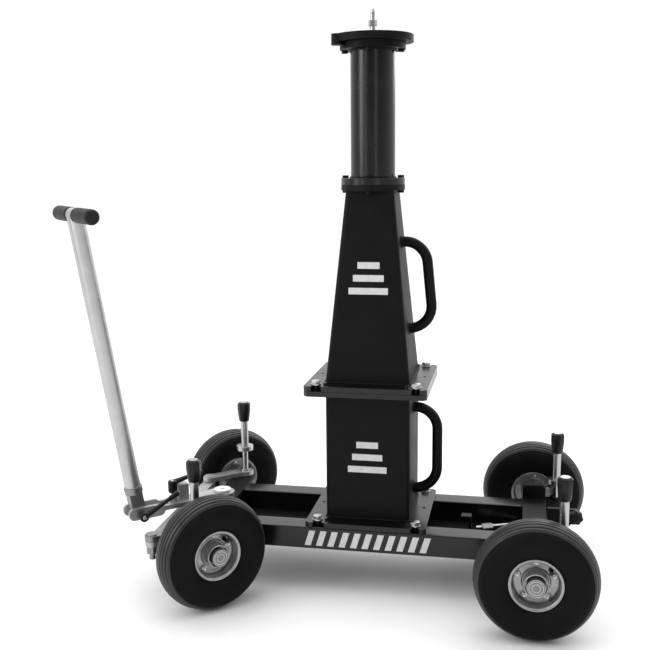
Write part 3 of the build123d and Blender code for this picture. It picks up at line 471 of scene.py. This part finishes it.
# ------------------------------------------------------------------ weld beads
# from here on, named lengths are in millimetres and MM turns them into metres
RISER_HALF = (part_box("lower_riser")[1].x - COLUMN.x) / MM
NECK_HALF = 55.0
HANDLE_R = 12.0
HANDLE_OUT = 55.0
HANDLE_BEND = 52.0
HANDLES = {"lower_handle": (217.0, 415.0), "upper_handle": (603.0, 804.0)}
RISER_CORNER = 10.5
BEAD_R = 2.4
THIN_BEAD_R = 2.0
BEAD_OUT = 0.6            # a bead's middle line stands this far off the wall it runs along
BEAD_OFF = 0.8            # and this far from the plate
BEAD_STEP = 0.9
RIPPLE = 3.6
RIPPLE_SHARE = 0.13
RAIL_BEAD_OUT = 0.4
RAIL_BEAD_DROP = 0.2


def walk(corners, closed=True):
    """Points every BEAD_STEP along straight runs between corners, in millimetres."""
    points = []
    ends = corners[1:] + corners[:1] if closed else corners[1:]
    for start, end in zip(corners, ends):
        start, end = Vector(start), Vector(end)
        steps = max(1, round((end - start).length / BEAD_STEP))
        points += [start.lerp(end, i / steps) for i in range(steps)]
    if not closed:
        points.append(Vector(corners[-1]))
    return points


def rounded_square(half, corner, height, centre):
    """Corner points of a rounded square loop about a vertical axis, in millimetres."""
    points = []
    for quarter in range(4):
        middle = pi / 2 * quarter + pi / 4
        hub = Vector((cos(middle), sin(middle), 0)) * (half - corner) * 2 ** 0.5
        for step in range(7):
            angle = pi / 2 * quarter + pi / 2 * step / 6
            reach = Vector((cos(angle), sin(angle), 0)) * corner
            points.append(centre / MM + hub + reach + UP * height)
    return points


def circle_points(place, radius, count=120):
    turn = [2 * pi * i / count for i in range(count)]
    return [place @ Vector((radius * cos(a), radius * sin(a), 0)) for a in turn]


def add_bead(shape, corners, closed=True, radius=BEAD_R):
    """A rippled weld bead along a path given in millimetres."""
    points = [point * MM for point in walk(corners, closed)]

    def swell(distance):
        return radius * MM * (1 + RIPPLE_SHARE * abs(sin(pi * distance / MM / RIPPLE)))

    add_sweep(shape, points, swell, 8, closed)


def top_of(node):
    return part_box(node)[1].z / MM


def foot_of(node):
    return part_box(node)[0].z / MM


def make_column_beads():
    """Beads round the feet and tops of the risers and the round column."""
    shape = bmesh.new()
    for half, height in (
        (RISER_HALF, foot_of("lower_riser") + BEAD_OFF),
        (RISER_HALF, top_of("lower_riser") - BEAD_OFF),
        (RISER_HALF, foot_of("upper_riser") + BEAD_OFF),
        (NECK_HALF, top_of("upper_riser") - BEAD_OFF),
    ):
        add_bead(shape, rounded_square(half + BEAD_OUT, RISER_CORNER, height, COLUMN))
    tube_r = (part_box("column_tube")[1].x - COLUMN.x) / MM
    for height in (foot_of("column_tube") + BEAD_OFF, top_of("column_tube") - BEAD_OFF):
        ring = Matrix.Translation(COLUMN / MM + UP * height)
        add_bead(shape, circle_points(ring, tube_r + BEAD_OUT))
    add_piece("column_weld_beads", shape, "chassis", COAT)


def make_rail_beads():
    """Beads round the ends of the rails, where they meet the cross beams."""
    shape = bmesh.new()
    for rail in ("left_rail", "right_rail"):
        low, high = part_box(rail)
        for x, inward in ((low.x / MM, 1), (high.x / MM, -1)):
            x += inward * BEAD_OFF
            near, far = low.y / MM - RAIL_BEAD_OUT, high.y / MM + RAIL_BEAD_OUT
            under, over = low.z / MM - RAIL_BEAD_DROP, high.z / MM + RAIL_BEAD_OUT
            corners = [(x, near, under), (x, far, under), (x, far, over), (x, near, over)]
            add_bead(shape, corners, radius=THIN_BEAD_R)
    add_piece("rail_weld_beads", shape, "chassis", COAT)


def make_handle_beads():
    """A bead round each foot of the two carrying handles."""
    shape = bmesh.new()
    for label, heights in HANDLES.items():
        lean = handle_lean(label)
        out = Vector((cos(lean), 0, sin(lean)))
        for height in heights:
            foot = COLUMN / MM + Vector((riser_face(height), 0, height))
            ring = facing(foot + out * BEAD_OUT, out)
            add_bead(shape, circle_points(ring, HANDLE_R + BEAD_OUT, 60), radius=THIN_BEAD_R)
    add_piece("handle_weld_beads", shape, "chassis", COAT)


def riser_face(height):
    """Distance in millimetres from the column's axis to a riser's side face."""
    if height < foot_of("upper_riser"):
        return RISER_HALF
    share = (height - foot_of("upper_riser")) / (top_of("upper_riser") - foot_of("upper_riser"))
    return RISER_HALF - (RISER_HALF - NECK_HALF) * share


def handle_lean(label):
    """Upward tilt of a handle's feet, square to the riser's side face."""
    if label == "lower_handle":
        return 0.0
    rise = top_of("upper_riser") - foot_of("upper_riser")
    return (RISER_HALF - NECK_HALF) / rise


make_column_beads()
make_rail_beads()
make_handle_beads()

# ------------------------------------------------------------------ wheels
WHEEL_R = 130.0
TREAD_GROOVES = (-30.6, -24, -16, -8, 0, 8, 16, 24, 30.6)
TREAD_STEPS = 48
GROOVE_HALF = 1.2
GROOVE_LIP = 0.15         # where a groove's soft edge ends, out from its half width
GROOVE_LIP_DEEP = 0.5     # and its depth there
GROOVE_WALL = 0.5
GROOVE_DEEP = 3.0
GROOVE_CLEAR = 0.2
SHOULDER = (117.5, 32.5)
SIDEWALL = (86.0, 42.2)
BEAD_EDGE = (58.4, 31.5)
BEAD_HEEL = (57.6, 28.8)
BEAD_SEAT = (52.3, 28.6)
TYRE_SEGMENTS = 176
TYRE_SHARP = radians(48)
SIDE_RIBS = ((110.5, 0.7), (107.5, 0.7), (104.5, 0.7), (66.0, 1.3))
SIDE_RIB_TALL = 0.45
RIM_BOLT_CIRCLE = 40.0
RIM_BOLTS = 5
RIM_WEB = 3.0             # outer face of the web, off the wheel's middle plane
RIM_WASHER_TOP = 4.1
RIM_NUT_HALF = 6.3
RIM_NUT_TOP = 9.4
VALVE_TURN = -50.0        # degrees from the top, towards the rear on the left side
VALVE_AT = 39.0
TREAD_HIGHLIGHT_R = 117.0      # the rubber outside this radius is glossier, polished by the floor, and painted lighter as a painted highlight
AXLE_CAP_R = 19.3
AXLE_CAP_SPAN = (24.0, 44.3)
AXLE_CAP_RINGS = (14.5, 8.5)
CAP_RING_DEEP = 0.8


def arc_through(a, b, c, steps):
    """Points on the circle through three points, from a to c by way of b."""
    a, b, c = Vector((*a, 0)), Vector((*b, 0)), Vector((*c, 0))
    ab, ac = b - a, c - a
    area = ab.cross(ac)
    centre = a + (area.cross(ab) * ac.length_squared + ac.cross(area) * ab.length_squared) / (
        2 * area.length_squared
    )
    start, end = a - centre, c - centre
    sweep = start.angle(end) * (1 if start.cross(end).z > 0 else -1)
    if (b - centre).dot(start + end) < 0:
        sweep -= 2 * pi * (1 if sweep > 0 else -1)
    points = [centre + Matrix.Rotation(sweep * i / steps, 3, "Z") @ start for i in range(steps + 1)]
    return [(point.x, point.y) for point in points]


def tread_radius(width):
    """Radius of the tyre's crown at a distance from its middle plane."""
    drop = WHEEL_R - SHOULDER[0]
    crown_r = (SHOULDER[1] ** 2 + drop ** 2) / (2 * drop)
    return WHEEL_R - crown_r + (crown_r ** 2 - width ** 2) ** 0.5


def tread_profile():
    """The tread from shoulder to shoulder, with its grooves."""
    half = SHOULDER[1]
    stops = [(-half + i * 2 * half / TREAD_STEPS, 0) for i in range(TREAD_STEPS + 1)]
    clear = GROOVE_HALF + GROOVE_WALL + GROOVE_CLEAR
    stops = [(w, d) for w, d in stops if all(abs(w - g) > clear for g in TREAD_GROOVES)]
    for groove in TREAD_GROOVES:
        for side in (-1, 1):
            stops.append((groove + side * (GROOVE_HALF + GROOVE_WALL), 0))
            stops.append((groove + side * (GROOVE_HALF + GROOVE_LIP), GROOVE_LIP_DEEP))
            stops.append((groove + side * GROOVE_HALF * 0.8, GROOVE_DEEP))
    return [(tread_radius(width) - deep, width) for width, deep in sorted(stops)]


def sidewall_profile(steps=64):
    """One sidewall from the shoulder down to the bead, with fine raised rings."""
    points = []
    for radius, width in arc_through(SHOULDER, SIDEWALL, BEAD_EDGE, steps)[1:]:
        rise = 0.0
        for middle, half in SIDE_RIBS:
            rise = max(rise, SIDE_RIB_TALL * min(1, max(0, 2 - abs(radius - middle) / half)))
        points.append((radius, width + rise))
    return points


def make_tyre(place, centre, outward):
    """The ribbed tyre; its polished tread has its own glossier rubber, painted lighter as a painted highlight."""
    shape = bmesh.new()
    side = sidewall_profile()
    bead = [BEAD_HEEL, BEAD_SEAT]
    inner = bead + [(radius, -width) for radius, width in reversed(bead)]
    profile = tread_profile() + side + inner + [(radius, -width) for radius, width in reversed(side)]
    add_turned(shape, facing(centre, outward, UP), profile, TYRE_SEGMENTS, closed=True)
    name, body = f"{place}_ribbed_tyre", f"{place}_wheel"
    tyre = add_piece(name, shape, body, RUBBER, sharp=TYRE_SHARP)
    tyre.data.materials.append(TREAD_HIGHLIGHT_RUBBER)
    # faces beyond this radius get the lighter rubber, a painted highlight on the tread
    for polygon in tyre.data.polygons:
        reach = polygon.center - centre
        if (reach - outward * reach.dot(outward)).length > TREAD_HIGHLIGHT_R * MM:
            polygon.material_index = 1
    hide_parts(f"{place}_tyre")


def rim_profile():
    """One pressed half: rolled collar, bolt web, drum wall and flange lip, as radius and width."""
    collar = arc_through((28.2, 8.0), (29.2, 4.2), (32.5, 3.0), 6)
    foot = arc_through((43.0, 3.0), (47.2, 4.8), (49.0, 9.0), 8)
    lip = arc_through((49.0, 26.5), (50.6, 30.4), (54.2, 32.0), 8)
    edge = arc_through((54.2, 32.0), (56.9, 30.6), (56.2, 28.9), 6)[1:]
    return [(26.3, 0.1), (26.3, 8.0)] + collar + foot + lip + edge + [(52.0, 28.4), (52.0, 0.1)]


def make_rim(place, centre, outward):
    """Two pressed halves back to back on a bored hub tube."""
    shape = bmesh.new()
    hub = [(26.0, -33.4), (26.0, 33.4), (25.4, 34.0), (23.6, 34.0), (23.0, 33.4), (23.0, 22.0)]
    hub += [(10.05, 22.0), (10.05, -34.0), (25.4, -34.0)]
    for side in (1, -1):
        spot = facing(centre, outward * side, UP)
        add_turned(shape, spot, rim_profile(), 120, closed=True)
    add_turned(shape, facing(centre, outward, UP), hub, 96, closed=True)
    rim = add_piece(f"{place}_pressed_rim", shape, f"{place}_wheel", RIM)
    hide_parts(f"{place}_rim")


def make_rim_bolts(place, centre, outward):
    """Washers and heads on both sides of the web, with a bolt's end on the outer side."""
    shape = bmesh.new()
    for i in range(RIM_BOLTS):
        angle = 2 * pi * i / RIM_BOLTS
        local = Vector((cos(angle), sin(angle), 0)) * RIM_BOLT_CIRCLE * MM
        for side in (1, -1):
            spot = facing(centre, outward * side, UP)
            mirror = Vector((local.x, local.y * side, 0))
            spot = spot @ Matrix.Translation(mirror)
            washer = [(8.2, RIM_WEB), (8.2, 3.8), (7.8, RIM_WASHER_TOP), (3.0, RIM_WASHER_TOP)]
            add_turned(shape, spot, washer, 40)
            add_hexagon(shape, spot, RIM_NUT_HALF, RIM_WASHER_TOP, RIM_NUT_TOP)
            if side > 0:
                add_turned(shape, spot, [(3.7, 9.0), (3.7, 11.2), (3.2, 11.8)], 32)
    bolts = add_piece(f"{place}_rim_nuts", shape, f"{place}_wheel", STEEL)
    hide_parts(f"{place}_rim_bolts")


def make_valve(place, centre, outward):
    """The tyre's filling valve, in the web between two bolts."""
    shape = bmesh.new()
    angle = radians(VALVE_TURN)
    local = Vector((cos(angle), sin(angle), 0)) * VALVE_AT * MM
    spot = facing(centre, outward, UP) @ Matrix.Translation(local)
    stem = [(5.6, 3.0), (5.6, 4.0), (4.4, 5.6), (3.9, 8.0), (3.9, 14.0), (3.4, 15.0), (3.4, 16.0)]
    cap = [(4.1, 16.0), (4.1, 22.5), (3.4, 23.4), (1.0, 23.6)]
    add_turned(shape, spot, stem + cap, 32)
    add_piece(f"{place}_valve", shape, f"{place}_wheel", PLASTIC)


def make_axle_cap(place, centre, outward):
    """A pressed cap over the axle's end, with two fine rings turned in its face."""
    foot, face = AXLE_CAP_SPAN
    edge = AXLE_CAP_R
    floor = face - CAP_RING_DEEP
    profile = [(edge, foot), (edge, face - 2.0), (edge - 0.6, face - 0.6), (edge - 2, face)]
    for ring in AXLE_CAP_RINGS:
        profile += [(ring + 0.9, face), (ring + 0.5, floor), (ring - 0.5, floor), (ring - 0.9, face)]
    profile += [(3.4, face), (2.8, face - 0.2), (0.4, face - 0.2)]
    shape = bmesh.new()
    add_turned(shape, facing(centre, outward, UP), profile, 72)
    body = "chassis" if place.startswith("rear") else f"{place.split('_')[1]}_knuckle"
    add_piece(f"{place}_axle_cap", shape, body, CAP_STEEL)


for place in PLACES:
    wheel_centre = middle_of(f"{place}_tyre")
    wheel_axis = joint_axis(f"{place}_spin")
    wheel_out = wheel_axis * (1 if wheel_axis.y * wheel_centre.y > 0 else -1)
    make_tyre(place, wheel_centre, wheel_out)
    make_rim(place, wheel_centre, wheel_out)
    make_rim_bolts(place, wheel_centre, wheel_out)
    make_valve(place, wheel_centre, wheel_out)
    make_axle_cap(place, wheel_centre, wheel_out)

# ------------------------------------------------------------------ flange bolts
WASHER_R = 12.0
WASHER = 2.5
HEAD_HALF = 9.5
HEAD_TALL = 8.0
SHANK_R = 6.0
SHANK_FOOT = -14.0


def make_flange_bolts():
    """Hexagon bolts and washers on the two bolted flange joints, and their shanks in the slots; the shanks are
    painted near-black, a painted shade under the heads.
    """
    low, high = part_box("flange_bolts")
    reach = Vector(((high.x - low.x) / 2 - WASHER_R * MM, (high.y - low.y) / 2 - WASHER_R * MM, 0))
    top = WASHER
    washer = [(SHANK_R + 0.4, 0.0), (WASHER_R - 0.4, 0.0), (WASHER_R, 0.4)]
    washer += [(WASHER_R, top - 0.4), (WASHER_R - 0.4, top), (SHANK_R + 0.4, top)]
    collar = [(HEAD_HALF - 0.6, top), (HEAD_HALF - 0.6, top + 0.5), (HEAD_HALF - 1.0, top + 0.7)]
    shape, shanks = bmesh.new(), bmesh.new()
    for plate in (foot_of("lower_riser"), foot_of("upper_riser")):
        for x in (-1, 1):
            for y in (-1, 1):
                spot = COLUMN + Vector((x * reach.x, y * reach.y, plate * MM))
                place = facing(spot, UP, Vector((cos(x + 2 * y), sin(x + 2 * y), 0)))
                add_turned(shape, place, washer, 56, closed=True)
                add_turned(shanks, place, [(SHANK_R, SHANK_FOOT), (SHANK_R, top)], 40)
                add_turned(shape, place, collar, 56)
                add_hexagon(shape, place, HEAD_HALF, top + 0.6, top + HEAD_TALL)
    bolts = add_piece("flange_bolt_set", shape, "chassis", STEEL)
    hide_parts("flange_bolts")
    # the shanks take the near-black steel, a painted shade in the slots under the heads
    add_piece("flange_bolt_shanks", shanks, "chassis", SHANK_SHADE_STEEL)


make_flange_bolts()

# ------------------------------------------------------------------ lock pin grips
GRIP_FACETS = 8
GRIP_SHARP = radians(24)
GRIP_BORE = 10.1
GRIP_SEGMENTS = 96
# a grip's outline: share of its height, and radius
GRIP_OUTLINE = (
    (0.0, 12.4), (0.03, 13.4), (0.2, 14.8), (0.4, 16.2), (0.54, 17.1), (0.62, 17.4), (0.88, 17.4),
    (0.94, 16.4), (0.985, 13.2), (1.0, 12.4), (1.0, GRIP_BORE), (0.0, GRIP_BORE),
)


def facet_radius(angle, radius, flatness):
    """Between a circle and an octagon; flatness 1 is the full octagon."""
    step = pi / GRIP_FACETS
    off = (angle + step) % (2 * step) - step
    return radius * (1 - flatness + flatness * cos(step) / cos(off))


def make_pin_grip(place):
    """A grip that is round at its foot and turns octagonal on the way up."""
    node = f"{place}_pin_grip"
    low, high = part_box(node)
    centre = Vector(((low.x + high.x) / 2, (low.y + high.y) / 2, 0))
    tall = (high.z - low.z) / MM
    rings = []
    for share, radius in GRIP_OUTLINE:
        flatness = min(1.0, share * 1.6) if radius > GRIP_BORE and share < 1 else 0.0
        turn = [2 * pi * i / GRIP_SEGMENTS for i in range(GRIP_SEGMENTS)]
        sizes = [facet_radius(a, radius, flatness) * MM for a in turn]
        height = low.z + tall * share * MM
        rings.append([(r * cos(a), r * sin(a), height) for r, a in zip(sizes, turn)])
    shape = bmesh.new()
    add_rings(shape, Matrix.Translation(centre), rings, closed=True)
    name, body = f"{place}_faceted_grip", f"{place}_pin"
    grip = add_piece(name, shape, body, PLASTIC, sharp=GRIP_SHARP)
    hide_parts(node)


for place in PLACES:
    make_pin_grip(place)

# ------------------------------------------------------------------ tow bar grips
SLEEVE_R = 17.0
SLEEVE_GROOVES = (24.0, 26.6, 29.2)


def make_tow_grips():
    """Two rubber sleeves with three fine grooves and domed ends."""
    low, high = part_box("tow_grips")
    centre = (low + high) / 2
    dome = arc_through((SLEEVE_R, 122.0), (14.6, 127.6), (9.0, 129.6), 8)
    body = [(14.1, 20.0), (15.6, 20.0), (16.7, 20.8), (SLEEVE_R, 22.0)]
    floor = SLEEVE_R - 0.5
    for start in SLEEVE_GROOVES:
        body += [(SLEEVE_R, start), (floor, start + 0.5), (floor, start + 0.9), (SLEEVE_R, start + 1.4)]
    inner = [(8.6, 129.0), (4.0, 128.8), (0.4, 128.8), (0.4, 123.4), (14.1, 123.0)]
    shape = bmesh.new()
    for side in (-1, 1):
        add_turned(shape, facing(centre, SIDE * side, BAR), body + dome + inner, 80, closed=True)
    grips = add_piece("tow_grip_sleeves", shape, "tow_bar", GRIP)
    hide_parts("tow_grips")


make_tow_grips()

# ------------------------------------------------------------------ clamping levers and star knob
LEVER_VOXEL = 0.7
LEVER_HUB_R = 11.4
LEVER_TIP_R = 7.2
ARM_DROP = 6.0            # the arm's middle line leaves the hub this far under its top
ARM_ROOT_R = 7.6
ARM_WAIST = 2.6           # how much thinner the arm gets on its way out
ARM_SWELL = 2.0           # and how much thicker again towards its tip
ARM_SWELL_FROM = 0.72


def remeshed(shape, name):
    """One smooth skin over overlapping closed shapes, as a new bmesh."""
    mesh = bpy.data.meshes.new(name)
    shape.to_mesh(mesh)
    shape.free()
    draft = bpy.data.objects.new(name, mesh)
    bpy.context.scene.collection.objects.link(draft)
    skin = draft.modifiers.new("skin", "REMESH")
    skin.mode = "VOXEL"
    skin.voxel_size = LEVER_VOXEL * MM
    ease = draft.modifiers.new("ease", "SMOOTH")
    ease.factor = 0.6
    ease.iterations = 6
    graph = bpy.context.evaluated_depsgraph_get()
    result = bpy.data.meshes.new_from_object(draft.evaluated_get(graph))
    joined = bmesh.new()
    joined.from_mesh(result)
    bpy.data.objects.remove(draft)
    return joined


def make_lever(name, node, body, hub_span, along, reach, stud):
    """A moulded lever: hub about the joint's axis, tapered arm, and its steel stud."""
    joint = next(j for j in frame["joints"] if j["child"] == body)
    origin, axis = Vector(joint["pos_m"]), joint_axis(joint["name"])
    low, high = hub_span
    hub = [(6.4, low), (9.6, low), (10.6, low + 1.5), (LEVER_HUB_R, low + 8)]
    hub += [(LEVER_HUB_R, high - 2.2), (9.8, high)]
    shape = bmesh.new()
    add_turned(shape, facing(origin, axis), hub, 56)
    root = origin + axis * (high - ARM_DROP) * MM
    steps = 24
    line = [root + along * reach * MM * i / steps for i in range(steps + 1)]

    def thickness(distance):
        share = distance / MM / reach
        waist = ARM_WAIST * min(1, share * 1.6)
        swell = ARM_SWELL * max(0, share - ARM_SWELL_FROM) / (1 - ARM_SWELL_FROM)
        return (ARM_ROOT_R - waist + swell) * MM

    add_sweep(shape, line, thickness, 24)
    bmesh.ops.create_uvsphere(
        shape, u_segments=24, v_segments=16, radius=LEVER_TIP_R * MM,
        matrix=Matrix.Translation(line[-1]),
    )
    lever = add_piece(name, remeshed(shape, name), body, PLASTIC, sharp=pi)
    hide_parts(node)

    shape = bmesh.new()
    stud_r, stud_low = stud
    place = facing(origin, axis)
    add_turned(shape, place, [(stud_r - 0.6, stud_low), (stud_r, stud_low + 0.6), (stud_r, low)], 40)
    add_turned(shape, place, [(5.2, high - 1), (5.2, high + 0.1), (4.2, high + 1.1), (1.0, high + 1.5)], 40)
    add_piece(f"{name}_stud", shape, body, STEEL)


def height_of(joint, z):
    """Distance in millimetres from a joint's place up to a height."""
    return (z - JOINTS[joint]["pos_m"][2]) / MM


def raised(rise):
    """The direction from the drawbar's front to its rear, raised by an angle."""
    return -FORWARD * cos(rise) + UP * sin(rise)


make_lever(
    "tow_clamp_handle",
    "tow_clamp_lever",
    "tow_clamp_lever",
    hub_span=(27, 50),
    along=raised(radians(27)),
    reach=93,
    stud=(6.0, -30),
)
# heights over the floor, in metres: the steering lock's hub, and the foot of its stud
LOCK_HUB = (0.199, 0.229)
LOCK_STUD_FOOT = 0.166
make_lever(
    "steering_lock_handle",
    "steering_lock_lever",
    "steering_lock_lever",
    hub_span=[height_of("steering_lock_turn", z) for z in LOCK_HUB],
    along=raised(radians(12)),
    reach=74,
    stud=(5.0, height_of("steering_lock_turn", LOCK_STUD_FOOT)),
)

KNOB_LOBES = 7
KNOB_LOBE_DEEP = 0.13
KNOB_SEGMENTS = 112
KNOB_START = 13.0         # the knob's head starts this far along its stud


def make_star_knob():
    """A knob with seven shallow lobes on a steel stud."""
    joint = JOINTS["star_knob_turn"]
    axis = joint_axis("star_knob_turn")
    low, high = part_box("star_knob")
    centre = (low + high) / 2
    origin = Vector((centre.x, high.y, centre.z))
    place = facing(origin, axis, UP)
    tall = (high.y - low.y) / MM
    start = KNOB_START
    outline = [(start, 8.0, 0), (start, 11.5, 0), (start + 3, 12.5, 0.3), (start + 4, 16.2, 0.9)]
    outline += [(start + 6, 17.4, 1), (tall - 4.5, 17.4, 1), (tall - 2, 15.2, 1), (tall - 0.6, 12.0, 0.6)]
    outline += [(tall - 0.6, 8.5, 0), (tall - 1.6, 7.5, 0), (tall - 1.6, 1.0, 0)]
    rings = []
    for height, radius, lobes in outline:
        turn = [2 * pi * i / KNOB_SEGMENTS for i in range(KNOB_SEGMENTS)]
        dips = [KNOB_LOBE_DEEP * lobes * (0.5 - 0.5 * cos(KNOB_LOBES * a)) for a in turn]
        sizes = [radius * (1 - dip) * MM for dip in dips]
        rings.append([(r * cos(a), r * sin(a), height * MM) for r, a in zip(sizes, turn)])
    shape = bmesh.new()
    add_rings(shape, place, rings)
    knob = add_piece("star_knob_head", shape, joint["child"], PLASTIC)
    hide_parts("star_knob")
    shape = bmesh.new()
    add_turned(shape, place, [(4.4, 0.2), (5.0, 0.8), (5.0, start + 1)], 32)
    add_piece("star_knob_stud", shape, joint["child"], STEEL)


make_star_knob()

# ------------------------------------------------------------------ carrying handles
def make_handle(node, low, high):
    """A round bar bent into a bow, its feet square to the riser's face."""
    lean = handle_lean(node)
    out = Vector((cos(lean), 0, sin(lean)))
    foot = COLUMN / MM + Vector((riser_face(low), 0, low))
    head = COLUMN / MM + Vector((riser_face(high), 0, high))
    up = (head - foot).normalized()
    points = [foot]
    for hub, start in ((foot + up * HANDLE_BEND, 0), (head - up * HANDLE_BEND, 90)):
        for step in range(17):
            angle = radians(start + 90 * step / 16)
            centre = hub + out * (HANDLE_OUT - HANDLE_BEND)
            points.append(centre + (out * sin(angle) - up * cos(angle)) * HANDLE_BEND)
    points.append(head)
    shape = bmesh.new()
    add_sweep(shape, [point * MM for point in points], HANDLE_R * MM, 40)
    handle = add_piece(f"{node}_bar", shape, "chassis", COAT)
    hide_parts(node)


for label, (low, high) in HANDLES.items():
    make_handle(label, low, high)

# ------------------------------------------------------------------ plain markings
FILM = 0.25
STRIPES = 3
STRIPE_HEIGHTS = {"lower_handle": 315.0, "upper_handle": 727.0}     # keyed by the riser's handle
STRIPE_WIDE = 90.0
STRIPE_TALL = 15.0
STRIPE_PITCH = 29.0
STRIPE_STEP = 0.22        # each stripe is narrower than the lowest one by this share more
BAND_HALF = 147.0
BAND_BARS = 11
BAND_TALL = 36.0
BAR_HALF_SHARE = 0.27     # half a bar's width and its slant, as shares of the bars' pitch
BAR_SLANT_SHARE = 0.42


def add_film(shape, place, corners):
    """A thin sheet of film: corners in millimetres in a place whose Z points off the surface."""
    rings = [[(x * MM, y * MM, z * MM) for x, y in corners] for z in (0.02, FILM)]
    add_rings(shape, place, rings)


def stripe(half, low, high, slant=0.0):
    return [(-half, low), (half, low), (half + slant, high), (-half + slant, high)]


def make_riser_stripes():
    """Three plain stripes, wider downwards, on the near face of each riser."""
    shape = bmesh.new()
    for label, height in STRIPE_HEIGHTS.items():
        tilt = handle_lean(label)
        outward = Vector((0, -cos(tilt), sin(tilt)))
        spot = COLUMN + Vector((0, -riser_face(height), height)) * MM
        place = facing(spot, outward, Vector((1, 0, 0)))
        for i in range(STRIPES):
            middle = (i - (STRIPES - 1) / 2) * STRIPE_PITCH
            half = STRIPE_WIDE / 2 * (1 - STRIPE_STEP * i)
            add_film(shape, place, stripe(half, middle - STRIPE_TALL / 2, middle + STRIPE_TALL / 2))
    add_piece("riser_stripes", shape, "chassis", MARKING, smooth=False)


def make_rail_band():
    """A band of slanted bars on the left rail's outer face."""
    low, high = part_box("left_rail")
    place = facing(Vector((COLUMN.x, low.y, (low.z + high.z) / 2)), (0, -1, 0), (1, 0, 0))
    pitch = 2 * BAND_HALF / BAND_BARS
    shape = bmesh.new()
    for i in range(BAND_BARS):
        middle = (i - (BAND_BARS - 1) / 2) * pitch
        half, slant = pitch * BAR_HALF_SHARE, pitch * BAR_SLANT_SHARE
        corners = stripe(half, -BAND_TALL / 2, BAND_TALL / 2, slant)
        add_film(shape, place, [(x + middle, y) for x, y in corners])
    add_piece("rail_band", shape, "chassis", MARKING, smooth=False)


make_riser_stripes()
make_rail_band()

make_camera()
make_studio()
make_floor()
